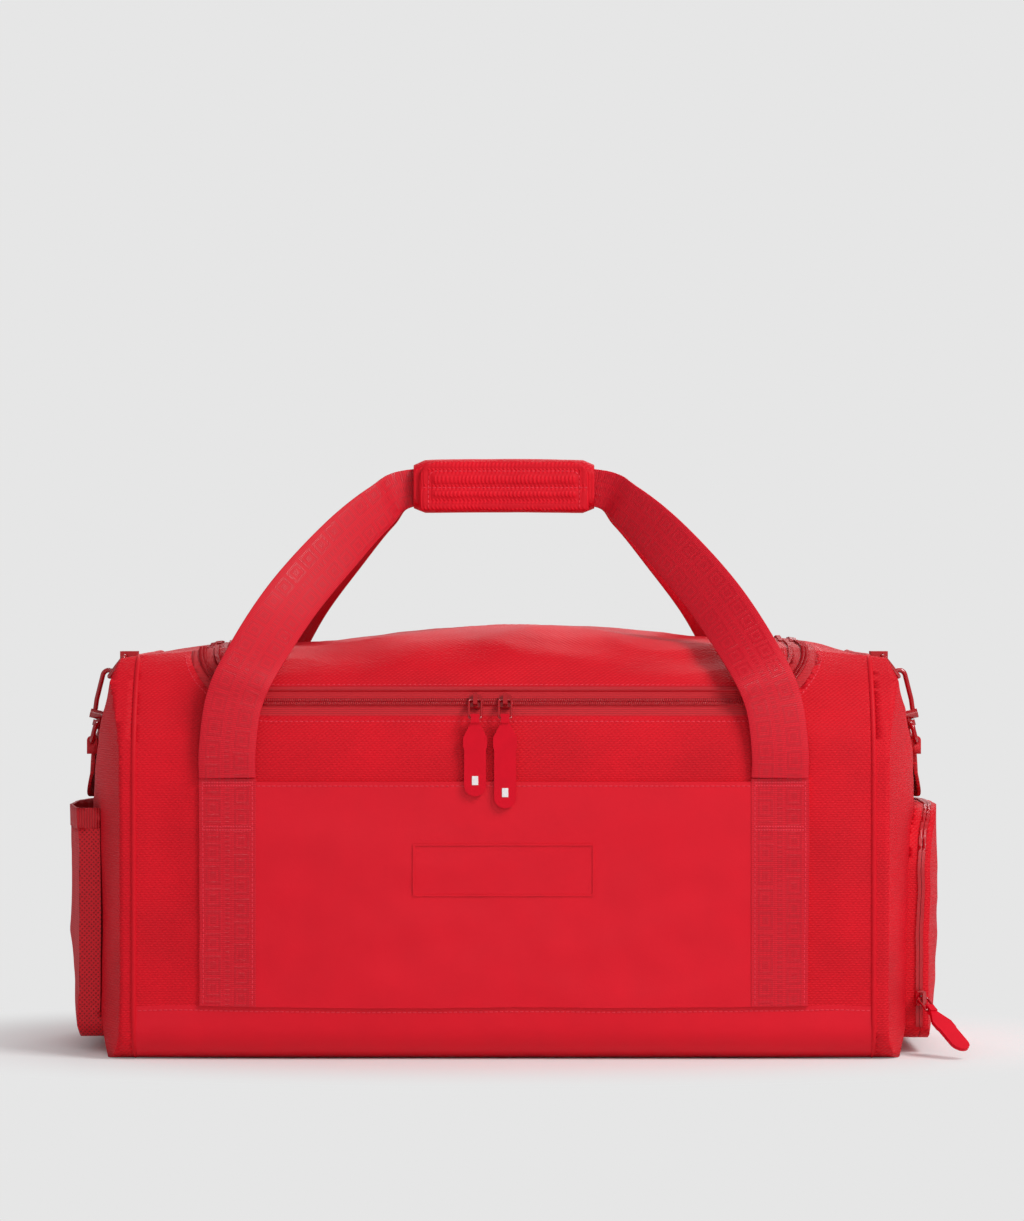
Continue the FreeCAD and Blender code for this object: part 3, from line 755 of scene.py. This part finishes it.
def webbing_run(name: str, stations: Sequence[Station], thickness: float, rows: int,
                drape: float = 0.0, cols: int = 8) -> bpy.types.Object:
    """Lay a strip of webbing along stations, with softly rounded edges.

    Args:
        name: piece name.
        stations: centre, width direction and width at each station, in metres.
        thickness: webbing thickness in metres.
        rows: faces along the length.
        drape: share of the shell's slack that the webbing follows.
        cols: faces across the width.

    Returns:
        The new piece.
    """
    steps = [curve_through(stations, i / rows) for i in range(rows + 1)]
    lengths = [0.0]
    for one, two in zip(steps, steps[1:]):
        lengths.append(lengths[-1] + (two[0] - one[0]).length)

    def place(u: float, v: float) -> Vector:
        centre, side, width = steps[round(v * rows)]
        ahead = steps[min(rows, round(v * rows) + 1)][0] - steps[max(0, round(v * rows) - 1)][0]
        face = ahead.cross(side).normalized()
        side = face.cross(ahead).normalized()
        cup = face * ((2 * u - 1) ** 2 * 0.0007)
        point = centre + side * ((u - 0.5) * width) + cup
        return point + outward(point) * (slack(point) * drape)

    def pattern(u: float, v: float) -> Point:
        row = round(v * rows)
        return ((u - 0.5) * steps[row][2], lengths[row])

    obj = grid_piece(name, cols, rows, place, pattern)
    modify(obj, "SOLIDIFY", thickness=thickness, offset=0.0)
    modify(obj, "BEVEL", width=thickness * 0.28, segments=2, limit_method="ANGLE")
    face_outward(obj)
    smooth(obj, 50)
    return obj


@dataclass
class CarryLoop:
    """One carrying loop, from its two sewn feet up to its half of the grip."""

    face: Face
    rows: int = 190

    def stations(self) -> list[Station]:
        """Return the loop's stations, from the left foot to the right one."""
        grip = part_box("grip_pad_front")
        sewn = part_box("front_webbing_left")
        x = (sewn[0].x + sewn[1].x) / 2
        width = sewn[1].x - sewn[0].x
        radius, thick = SHOULDER_R, sewn[1].y - sewn[0].y
        centre = Vector((0, -(HALF_DEPTH - radius), TOP - radius))

        def over(degrees: float, at_x: float, stand_off: float) -> Vector:
            a, r = math.radians(degrees), radius + 2 * thick + stand_off
            return Vector((at_x, centre.y - r * math.cos(a), centre.z + r * math.sin(a)))

        half_grip, run_z = grip[1].x, (grip[0].z + grip[1].z) / 2
        arm = [
            (Vector((x, FRONT - 1.5 * thick - 0.0003, sewn[1].z + 0.0003)), (1, 0, 0), width),
            (over(9, x, 0.0015), (1, 0, 0), width),
            (over(26, x + 0.004, 0.007), (1, 0, -0.08), width),
            (over(40, x + 0.015, 0.014), (1, 0, -0.3), width),
            (Vector((x + 0.040, -0.084, TOP + 0.020)), (1, 0.2, -0.75), width),
            (Vector((x + 0.072, -0.048, TOP + 0.059)), (0.8, 0.25, -0.9), width * 0.95),
            (Vector((x + 0.098, -0.020, TOP + 0.085)), (0.5, 0.2, -1), width * 0.82),
            (Vector((-half_grip - 0.002, -0.006, run_z - 0.001)), (0.1, 0, -1), width * 0.68),
        ]
        middle = [(Vector((0, -0.006, run_z)), (0, 0, -1), width * 0.66)]
        run = without_flips(arm + middle + mirrored(arm))
        if self.face is Face.BACK:
            run = [(Vector((c.x, -c.y, c.z)), Vector((w.x, -w.y, w.z)), b) for c, w, b in run]
        return run

    def build(self) -> None:
        """Make the loop and dress it."""
        side = self.face.name.lower()
        loop = webbing_run(f"{side}_carry_loop", self.stations(), 0.002, self.rows)
        finish_piece(loop, f"{side}_handle", "strap_webbing", WEBBING, f"{side}_handle_webbing")
        for end, x in (("left", -1), ("right", 1)):
            low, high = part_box(f"{side}_webbing_{end}")
            SoftPiece(f"{side}_webbing_{end}", "root", "strap_webbing", WEBBING,
                      centre_x=(low.x + high.x) / 2).build()


@dataclass
class ShoulderStrap:
    """Flat shoulder strap behind the bag, with its pad."""

    rows: int = 300

    def build(self) -> None:
        """Make the strap, its folded ends and the pad."""
        loop_low, loop_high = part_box("strap_end_left")
        x, z = (loop_low.x + loop_high.x) / 2, loop_low.z
        back = (highest("shoulder_pad").y + highest("shoulder_strap").y) / 2
        full = loop_high.y - loop_low.y
        mid = (lowest("shoulder_pad").z + highest("shoulder_pad").z) / 2
        half = [
            (Vector((x, 0, z - 0.0005)), (0, 1, 0), full - 0.004),
            (Vector((x - 0.0006, 0, z - 0.009)), (0, 1, 0), full - 0.012),
            (Vector((x - 0.003, 0.007, z - 0.016)), (0, 0.85, 0.5), full - 0.010),
            (Vector((x - 0.0035, 0.023, z - 0.014)), (0, 0.3, 1), full - 0.005),
            (Vector((x - 0.0035, 0.044, z - 0.007)), (0, 0, 1), full),
            (Vector((x, 0.072, z - 0.0093)), (0, 0, 1), full),
            (Vector((x + 0.0097, 0.100, z - 0.0125)), (0, 0, 1), full),
            (Vector((x + 0.0197, 0.128, z - 0.0205)), (0, 0.1, 1), full),
            (Vector((x + 0.0297, 0.1495, z - 0.0315)), (0.2, 0, 1), full),
            (Vector((-0.228, back, mid + 0.041)), (0.4, 0, 1), full),
            (Vector((-0.184, back, mid + 0.020)), (0.3, 0, 1), full),
            (Vector((-0.130, back, mid + 0.007)), (0.15, 0, 1), full),
            (Vector((-0.060, back, mid)), (0.05, 0, 1), full),
        ]
        run = without_flips(half + mirrored(half))
        strap = webbing_run("shoulder_webbing", run, 0.0022, self.rows)
        finish_piece(strap, "strap", "strap_webbing", PLAIN_WEBBING, "shoulder_strap")
        for end in ("left", "right"):
            SoftPiece(f"strap_end_{end}", "strap", "strap_webbing", PLAIN_WEBBING, Lay.END,
                      spacing=0.006, share=0.0).build()
        self.pad()

    def pad(self) -> None:
        """A quilted foam pad with a bound edge, thinner towards its rim."""
        low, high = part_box("shoulder_pad")
        obj = sliced_copy("shoulder_pad", "quilted_shoulder_pad", 0.005)
        modify(obj, "BEVEL", width=0.003, segments=3, limit_method="ANGLE")
        middle, half = (low + high) / 2, (high - low) / 2
        for vertex in obj.data.vertices:
            off = vertex.co - middle
            rim = min(half.x - abs(off.x), half.z - abs(off.z))
            full = 0.55 + 0.45 * smoothstep(0.0, 0.016, rim)
            rows = 0.86 + 0.14 * abs(math.sin(math.pi * off.x / 0.022))
            vertex.co.y = middle.y + off.y * full * rows
        lay_cloth(obj, Lay.WRAPPED)
        smooth(obj, 50)
        finish_piece(obj, "strap", "strap_webbing", GRIP_CLOTH, "shoulder_pad")


@dataclass
class Grip:
    """Padded wrap that holds the two loops together, and its flap."""

    def build(self) -> None:
        """Make the two foam halves and the closing flap."""
        for side in ("front", "back"):
            obj = self.half(f"grip_pad_{side}")
            finish_piece(obj, f"{side}_handle", "shell_twill", GRIP_CLOTH, f"grip_pad_{side}")
        self.flap()

    def half(self, node: str) -> bpy.types.Object:
        """Round off a foam half and let it swell a little between its stitched ends."""
        low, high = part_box(node)
        obj = sliced_copy(node, "padded_" + node, 0.004)
        modify(obj, "BEVEL", width=0.0012, segments=2, limit_method="ANGLE")
        centre_z, half_x = (low.z + high.z) / 2, high.x
        for vertex in obj.data.vertices:
            share = 1 - (abs(vertex.co.x) / half_x) ** 6
            sag = 0.0015 * (1 - (vertex.co.x / half_x) ** 2)
            grow = 1.0 + 0.035 * share + 0.012 * ripple(vertex.co, 0.02, 2.0)
            grow -= 0.16 * smoothstep(half_x - 0.008, half_x, abs(vertex.co.x))
            vertex.co.z = centre_z + (vertex.co.z - centre_z) * grow + sag * 0.5
        lay_cloth(obj, Lay.WRAPPED)
        smooth(obj, 50)
        return obj

    def flap(self) -> None:
        """The flap: rounded top corners, padded between its hem and its middle stitch line."""
        low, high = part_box("grip_flap")
        obj = sliced_copy("grip_flap", "grip_flap_cloth", 0.0022)
        modify(obj, "BEVEL", width=0.0009, segments=3, limit_method="ANGLE")
        middle_z, half_z, half_x = (low.z + high.z) / 2, (high.z - low.z) / 2, high.x
        for vertex in obj.data.vertices:
            point = vertex.co
            rim = min(half_x - abs(point.x), high.z - point.z, point.z - low.z)
            seam = min(abs(rim - 0.0065), abs(point.z - middle_z + 0.001))
            pinch = 1 - smoothstep(0.0, 0.004, seam)
            if point.y < (low.y + high.y) / 2:
                puff = 0.0016 * smoothstep(0.0, 0.005, rim) + 0.0005 * ripple(point, 0.012, 7.0)
                vertex.co.y -= puff * (1 - pinch) - 0.0002
        lay_cloth(obj, Lay.WRAPPED)
        smooth(obj, 50)
        finish_piece(obj, "flap", "shell_twill", GRIP_CLOTH, "grip_flap")


@dataclass
class EndPockets:
    """Mesh bottle pocket on the left end and the zipped shoe pocket on the right end."""

    def build(self) -> None:
        """Make both pockets."""
        self.bottle()
        twill = "shell_twill"
        SoftPiece("shoe_pocket_gusset", "root", twill, SHELL, Lay.END, 0.004).build()
        SoftPiece("shoe_pocket_cover", "shoe_cover", twill, SHELL, Lay.END, 0.004).build()
        SoftPiece("shoe_coil_fixed", "root", "zip_coil_nylon", COIL, Lay.END, 0.0035).build()
        SoftPiece("shoe_coil_cover", "shoe_cover", "zip_coil_nylon", COIL, Lay.END, 0.0035).build()

    def bottle(self) -> None:
        """The mesh pocket gathered into its elastic top band."""
        top = lowest("pocket_band").z
        for node, name, slot, finish in (("bottle_pocket", "mesh_pocket", "pocket_mesh", KNIT),
                                         ("pocket_band", "elastic_top", "elastic_band", ELASTIC)):
            obj = sliced_copy(node, name, 0.0045)
            for vertex in obj.data.vertices:
                point = vertex.co
                gather = smoothstep(top - 0.05, top, point.z)
                pull = 0.0011 * math.sin(point.y / 0.0035) * gather * abs(ripple(point, 0.03, 1.0))
                slump = 0.0035 * ripple(point, 0.05, 4.0) * smoothstep(0.01, 0.05, point.z)
                slump *= 1 - 0.6 * gather
                if point.x < lowest_shell():
                    vertex.co.x += pull + min(slump, 0.001)
            settle(obj, 0.5)
            lay_cloth(obj, Lay.END)
            smooth(obj, 60)
            finish_piece(obj, "root", slot, finish, node)


def lowest_shell() -> float:
    """Return the x past which the bottle pocket stands clear of the end panel."""
    return START_BOUNDS[0][0] + 0.012


@dataclass
class PullMarks:
    """A small plain raised mark near the foot of each of the two main pulls."""

    width: float = 0.0042
    height: float = 0.0060

    def build(self) -> None:
        """Make both marks."""
        for end in End:
            side = end.name.lower()
            low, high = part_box(f"pull_tab_{side}")
            tab = frame["nodes"][f"pull_tab_{side}"].data
            foot = [v.co for v in tab.vertices if v.co.z < low.z + 0.016]
            front = min(point.y for point in foot)
            centre = ((low.x + high.x) / 2, front - 0.0001, low.z + 0.0105)
            clear_selection()
            bpy.ops.mesh.primitive_cube_add(size=1.0, location=centre)
            mark = bpy.context.object
            mark.name = f"pull_mark_{side}"
            mark.scale = (self.width, 0.0006, self.height)
            bpy.ops.object.transform_apply(location=True, rotation=False, scale=True)
            modify(mark, "BEVEL", width=0.0002, segments=2)
            finish_piece(mark, f"pull_{side}", "pull_rubber", MARK)


# ---- thread and zip coils ---------------------------------------------------------------
@dataclass
class Bead:
    """Size of one stitch or one coil tooth, in metres."""

    length: float = 0.0026
    width: float = 0.0007
    height: float = 0.0005
    pitch: float = 0.0034
    across: bool = False


STITCH = Bead()
TACK = Bead(length=0.0016, pitch=0.0018, width=0.0009)
TOOTH = Bead(length=0.0030, width=0.0009, height=0.0011, pitch=0.0013, across=True)


@dataclass
class Ground:
    """The finished pieces that thread is laid on."""

    trees: list = field(default_factory=list)

    @classmethod
    def of(cls, *names: str) -> "Ground":
        """Return the ground made of finished pieces."""
        made = cls()
        for name in names:
            mesh = bpy.data.objects[name].data
            points = [v.co.copy() for v in mesh.vertices]
            faces = [tuple(f.vertices) for f in mesh.polygons]
            made.trees.append(BVHTree.FromPolygons(points, faces))
        return made

    def drop(self, point: Vector, way: Vector) -> Optional[tuple[Vector, Vector]]:
        """Drop a point along a direction and return the place and the surface's direction."""
        start = point - way * 0.02
        best = None
        for tree in self.trees:
            place, normal, _, distance = tree.ray_cast(start, way, 0.05)
            if place is not None and (best is None or distance < best[2]):
                best = (place, normal if normal.dot(way) < 0 else -normal, distance)
        return best[:2] if best else None


def fallen(ground: Ground, path: Sequence[Vector], way: Vector) -> list[Vector]:
    """Return where a path lands when its points fall on the ground from far outside.

    Args:
        ground: pieces to land on.
        path: points to let fall.
        way: direction of the fall.

    Returns:
        The landing places, without the points that miss.
    """
    landed = []
    for point in path:
        hits = [tree.ray_cast(point - way * 0.5, way, 1.0) for tree in ground.trees]
        near = [hit for hit in hits if hit[0] is not None]
        if near:
            landed.append(min(near, key=lambda hit: hit[3])[0])
    return landed


def walk(path: Sequence[Vector], pitch: float, closed: bool = False) -> list[tuple[Vector, Vector]]:
    """Return evenly spaced points along a path, each with its direction."""
    points = list(path) + ([path[0]] if closed else [])
    spots, carry = [], pitch / 2
    for one, two in zip(points, points[1:]):
        span = (two - one).length
        if span < 1e-9:
            continue
        along = (two - one) / span
        while carry <= span:
            spots.append((one + along * carry, along))
            carry += pitch
        carry -= span
    return spots


def bead_row(name: str, ground: Ground, paths: Sequence[Sequence[Vector]],
             way: Callable[[Vector], Vector], bead: Bead, lift: float = 0.0001) -> bpy.types.Object:
    """Lay a row of stitches or teeth on finished pieces.

    Args:
        name: piece name.
        ground: what the row lies on.
        paths: routes near the surface.
        way: direction towards the surface at a point.
        bead: size of each stitch.
        lift: height of each stitch's middle over the surface.

    Returns:
        The new piece, one closed shell for each stitch.
    """
    thread = bmesh.new()
    for path in paths:
        for spot, along in walk(path, bead.pitch):
            hit = ground.drop(spot, way(spot).normalized())
            if hit is None:
                continue
            place, up = hit
            side = along.cross(up)
            if side.length < 1e-6:
                continue
            side.normalize()
            ahead = up.cross(side).normalized()
            if bead.across:
                ahead, side = side, ahead
            middle = place + up * lift
            half, w, h = bead.length / 2, bead.width / 2, bead.height / 2
            ends = [thread.verts.new(middle + ahead * (half * k)) for k in (-1, 1)]
            rings = [[thread.verts.new(middle + ahead * (half * 0.7 * k) + side * (w * a) + up * (h * b))
                      for a, b in ((1, 0), (0, 1), (-1, 0), (0, -1))] for k in (-1, 1)]
            for i in range(4):
                j = (i + 1) % 4
                thread.faces.new((rings[0][i], rings[0][j], rings[1][j], rings[1][i]))
                thread.faces.new((ends[0], rings[0][j], rings[0][i]))
                thread.faces.new((ends[1], rings[1][i], rings[1][j]))
    bmesh.ops.recalc_face_normals(thread, faces=thread.faces)
    mesh = bpy.data.meshes.new(name)
    thread.to_mesh(mesh)
    thread.free()
    obj = bpy.data.objects.new(name, mesh)
    bpy.context.scene.collection.objects.link(obj)
    smooth(obj, 80)
    return obj


def tube(name: str, points: Sequence[Vector], radius: float, sides: int = 8) -> bpy.types.Object:
    """Sweep a round cord along a closed route.

    Args:
        name: piece name.
        points: closed route.
        radius: cord radius in metres.
        sides: corners of the cord's section.

    Returns:
        The new piece.
    """
    cord = bmesh.new()
    count, rings = len(points), []
    for i, point in enumerate(points):
        along = (points[(i + 1) % count] - points[i - 1]).normalized()
        side = along.cross(Vector((1, 0, 0))).normalized()
        up = side.cross(along).normalized()
        rings.append([cord.verts.new(point + (side * math.cos(a) + up * math.sin(a)) * radius)
                      for a in (2 * math.pi * k / sides for k in range(sides))])
    for i in range(count):
        one, two = rings[i], rings[(i + 1) % count]
        for k in range(sides):
            cord.faces.new((one[k], one[(k + 1) % sides], two[(k + 1) % sides], two[k]))
    bmesh.ops.recalc_face_normals(cord, faces=cord.faces)
    mesh = bpy.data.meshes.new(name)
    cord.to_mesh(mesh)
    cord.free()
    obj = bpy.data.objects.new(name, mesh)
    bpy.context.scene.collection.objects.link(obj)
    smooth(obj, 80)
    return obj


@dataclass
class EndSeam:
    """The bound seam between an end panel and the panels round it."""

    end: End
    radius: float = 0.0020
    steps: int = 260

    def build(self) -> None:
        """Run a thin rolled seam round the bag where the end panel is sewn in."""
        name = self.end.name.lower()
        ground = Ground.of("soft_end_panel_" + name, "soft_front_panel", "soft_back_panel",
                           "soft_base_panel")
        x = self.end.value * (SEAM - 0.0012)
        points = []
        for i in range(self.steps):
            angle = 2 * math.pi * i / self.steps
            way = Vector((0, -math.cos(angle), -math.sin(angle)))
            far = Vector((x, 0, 0.14)) - way * 0.24
            hits = [tree.ray_cast(far, way, 0.2) for tree in ground.trees]
            near = [h for h in hits if h[0] is not None]
            if near:
                points.append(min(near, key=lambda h: h[3])[0] + way * 0.0007)
        for _ in range(2):
            points = [(points[i - 1] + points[i] * 2 + points[(i + 1) % len(points)]) / 4
                      for i in range(len(points))]
        points = [Vector((p.x, p.y, max(p.z, self.radius))) for p in points]
        seam = tube(f"end_seam_{name}", points, self.radius)
        finish_piece(seam, "root", "shell_twill", SHELL)


def inward(point: Vector) -> Vector:
    """Direction into the bag at a point."""
    return -outward(point)


@dataclass
class Zip:
    """The lid's zip line: an outline drawn on a plane tilted forward, dropped on the shell."""

    tilt: float = math.radians(35)
    radius: float = SHOULDER_R

    def outline(self, grow: float) -> list[Vector]:
        """Return the outline from the back left, round the front, to the back right."""
        up, fore = self.up(), Vector((0, -math.cos(self.tilt), -math.sin(self.tilt)))
        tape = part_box("lid_zip_tape")
        x = tape[1].x + grow
        rise = ZIP_FRONT_Z - (TOP - self.radius)
        front_y = FRONT + self.radius - math.sqrt(self.radius ** 2 - rise ** 2)
        v = Vector((0, front_y, ZIP_FRONT_Z)).dot(fore) + grow
        r = ZIP_CORNER_R + grow
        back = (Vector((0, 0.118, TOP - 0.03))).dot(fore)
        flat = [(-x, back + (v - r - back) * i / 60) for i in range(60)]
        flat += [(-x + r - r * math.cos(a), v - r + r * math.sin(a))
                 for a in (math.pi / 2 * i / 14 for i in range(15))]
        flat += [(-x + r + (2 * x - 2 * r) * i / 80, v) for i in range(1, 80)]
        flat += [(-px, pv) for px, pv in reversed(flat[:75])]
        return [Vector((px, 0, 0)) + fore * pv + up * self.radius for px, pv in flat]

    def up(self) -> Vector:
        """Return the direction that the outline's plane faces."""
        return Vector((0, -math.sin(self.tilt), math.cos(self.tilt)))

    def build(self) -> None:
        """Lay the coil teeth and the topstitching on both sides of the zip."""
        def down(_: Vector) -> Vector:
            return -self.up()

        rows = (("body_zip_teeth", "root", "soft_body_zip_coil", 0.0011, TOOTH, COIL),
                ("lid_zip_teeth", "lid", "soft_lid_zip_coil", -0.0011, TOOTH, COIL),
                ("body_zip_topstitch", "root", "soft_front_panel", 0.0115, STITCH, THREAD),
                ("lid_zip_topstitch", "lid", "soft_lid_panel", -0.0135, STITCH, THREAD))
        for name, body, piece, grow, bead, finish in rows:
            ground = Ground.of(piece)
            path = fallen(ground, self.outline(grow), -self.up())
            row = bead_row(name, ground, [path], down, bead)
            finish_piece(row, body, "zip_coil_nylon" if bead is TOOTH else "shell_twill", finish)


@dataclass
class Stitching:
    """Every visible row of thread on the body."""

    inset: float = 0.003

    def build(self) -> None:
        """Sew the overlay, the base, the webbing and the grip's flap."""
        self.overlay()
        self.base()
        for face in Face:
            self.webbing(face)
        self.flap()

    def overlay(self) -> None:
        """One row below the overlay's folded top edge."""
        low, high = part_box("front_overlay")
        z, y = high.z - self.inset, low.y
        path = [Vector((low.x, y, z)), Vector((high.x, y, z))]
        row = bead_row("overlay_stitch", Ground.of("soft_front_overlay"), [path], inward, STITCH)
        finish_piece(row, "root", "coated_leathercloth", THREAD)

    def base(self) -> None:
        """One row below the base panel's top edge, on all four sides."""
        low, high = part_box("base_panel")
        z = high.z - self.inset
        paths = [[Vector((-SEAM, y, z)), Vector((SEAM, y, z))] for y in (low.y, high.y)]
        paths += [[Vector((x, low.y + 0.02, z)), Vector((x, high.y - 0.02, z))]
                  for x in (low.x, high.x)]
        row = bead_row("base_stitch", Ground.of("soft_base_panel"), paths, inward, STITCH)
        finish_piece(row, "root", "coated_leathercloth", THREAD)

    def webbing(self, face: Face) -> None:
        """Both edges of each sewn webbing, and the two box tacks that carry the loop."""
        side = face.name.lower()
        for end in ("left", "right"):
            name = f"{side}_webbing_{end}"
            low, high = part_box(name)
            y = low.y if face is Face.FRONT else high.y
            x0, x1 = low.x + 0.0024, high.x - 0.0024
            z0, z1, tack = low.z + 0.001, high.z - 0.0025, high.z - 0.032
            edges = [[Vector((x, y, z0)), Vector((x, y, z1))] for x in (x0, x1)]
            boxes = [[Vector((x0, y, z)), Vector((x1, y, z))]
                     for z in (z1, z1 - 0.0022, tack, tack - 0.0022)]
            ground = Ground.of("soft_" + name)
            thread = bead_row(f"{name}_edge_stitch", ground, edges, inward, STITCH)
            finish_piece(thread, "root", "strap_webbing", THREAD)
            thread = bead_row(f"{name}_tack", ground, boxes, inward, TACK)
            finish_piece(thread, "root", "strap_webbing", THREAD)

    def flap(self) -> None:
        """The flap's hem and the line along its middle."""
        low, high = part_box("grip_flap")
        inset, corner, y = 0.0065, 0.012, low.y
        x, top, foot = high.x - inset, high.z - inset, low.z + 0.001
        r = corner - inset
        left = [Vector((-x, y, foot)), Vector((-x, y, top - r))]
        left += [Vector((-x + r - r * math.cos(a), y, top - r + r * math.sin(a)))
                 for a in (math.pi / 2 * i / 6 for i in range(1, 7))]
        hem = left + [Vector((-p.x, p.y, p.z)) for p in reversed(left)]
        mid = (low.z + high.z) / 2 - 0.001
        middle = [Vector((low.x + 0.002, y, mid)), Vector((high.x - 0.002, y, mid))]
        row = bead_row("flap_stitch", Ground.of("grip_flap_cloth"), [hem, middle],
                       lambda _: Vector((0, 1, 0)), STITCH)
        finish_piece(row, "flap", "shell_twill", THREAD)


@dataclass
class Studio:
    """Camera, pale room and soft light."""

    camera_place: tuple[float, float, float] = (0.0056, -3.0, 0.30)
    lens: float = 126.5
    pale: str = "#e9e9e9"

    def build(self) -> None:
        """Put up the camera, the floor and the lights."""
        clear_selection()
        bpy.ops.object.camera_add(location=self.camera_place, rotation=(math.pi / 2, 0, 0))
        camera = bpy.context.object
        camera.data.lens = self.lens
        camera.data.dof.use_dof = False
        bpy.context.scene.camera = camera
        bpy.context.scene.view_settings.view_transform = "Standard"
        self.floor()
        self.light("key_light", (1.5, -1.3, 2.0), 1.0, 50)
        self.light("front_light", (0.3, -2.9, 1.3), 1.6, 15)
        self.light("left_light", (-2.4, -0.9, 1.3), 1.6, 4)
        self.light("back_light", (0.1, 2.2, 1.9), 1.4, 26)
        self.world()

    def floor(self) -> None:
        """A plain pale floor, much wider than the bag."""
        bpy.ops.mesh.primitive_plane_add(size=24.0)
        floor = bpy.context.object
        floor.name = "studio_floor"
        made = bpy.data.materials.new("studio_floor_paper")
        made.use_nodes = True
        shader = made.node_tree.nodes["Principled BSDF"]
        shader.inputs["Base Color"].default_value = linear(self.pale)
        shader.inputs["Roughness"].default_value = 0.9
        shader.inputs["Specular IOR Level"].default_value = 0.1
        self.fade(made.node_tree, shader)
        floor.data.materials.append(made)
        floor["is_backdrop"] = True

    def fade(self, tree: bpy.types.NodeTree, shader: bpy.types.Node) -> None:
        """Away from the bag, the camera sees the floor in the background's own grey."""
        coords = add(tree, "ShaderNodeTexCoord")
        squeeze = add(tree, "ShaderNodeMapping", {"Vector": coords.outputs["Object"],
                                                  "Scale": (1.0, 1.7, 1.0)})
        far = add(tree, "ShaderNodeVectorMath", {0: squeeze.outputs[0]}, operation="LENGTH")
        share = add(tree, "ShaderNodeMapRange", {"Value": far.outputs["Value"], "From Min": 0.26,
                                                 "From Max": 0.52}, interpolation_type="SMOOTHSTEP")
        ray = add(tree, "ShaderNodeLightPath")
        seen = add(tree, "ShaderNodeMath", {0: share.outputs[0], 1: ray.outputs["Is Camera Ray"]},
                   operation="MULTIPLY")
        plain = add(tree, "ShaderNodeEmission", {"Color": linear("#e6e6e6")})
        mix = add(tree, "ShaderNodeMixShader", {0: seen.outputs[0], 1: shader.outputs[0],
                                                2: plain.outputs[0]})
        tree.links.new(mix.outputs[0], tree.nodes["Material Output"].inputs["Surface"])

    def light(self, name: str, place: tuple[float, float, float], size: float, watts: float) -> None:
        """One square area light aimed at the bag's middle."""
        bpy.ops.object.light_add(type="AREA", location=place)
        lamp = bpy.context.object
        lamp.name = name
        lamp.data.size = size
        lamp.data.energy = watts
        aim = Vector((0, 0, 0.18)) - Vector(place)
        lamp.rotation_euler = aim.to_track_quat("-Z", "Y").to_euler()
        lamp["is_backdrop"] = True

    def world(self) -> None:
        """Even pale light all round, and the photo's grey behind the bag for the camera."""
        world = bpy.data.worlds.new("studio")
        bpy.context.scene.world = world
        world.use_nodes = True
        tree = world.node_tree
        tree.nodes.clear()
        ray = add(tree, "ShaderNodeLightPath")
        seen = add(tree, "ShaderNodeBackground", {"Color": linear("#e6e6e6"), "Strength": 1.0})
        lit = add(tree, "ShaderNodeBackground", {"Color": linear("#f4f4f6"), "Strength": 0.36})
        mix = add(tree, "ShaderNodeMixShader", {0: ray.outputs["Is Camera Ray"],
                                                1: lit.outputs[0], 2: seen.outputs[0]})
        add(tree, "ShaderNodeOutputWorld", {"Surface": mix.outputs[0]})


def write_sizes() -> None:
    """Work out the overall size before and after dressing; the result is not kept."""
    def plain(box: object) -> list:
        return [[float(c) for c in corner] for corner in box]

    {"cad": plain(START_BOUNDS), "dressed": plain(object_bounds())}


def main() -> None:
    """Build every piece in order."""
    logging.basicConfig(level=logging.INFO, format="%(message)s", stream=sys.stdout)
    dress_defaults()
    Shell().build()
    for face in Face:
        CarryLoop(face).build()
    Grip().build()
    ShoulderStrap().build()
    EndPockets().build()
    PullMarks().build()
    for end in End:
        EndSeam(end).build()
    Zip().build()
    Stitching().build()
    Studio().build()
    write_sizes()


if __name__ == "__main__":
    main()
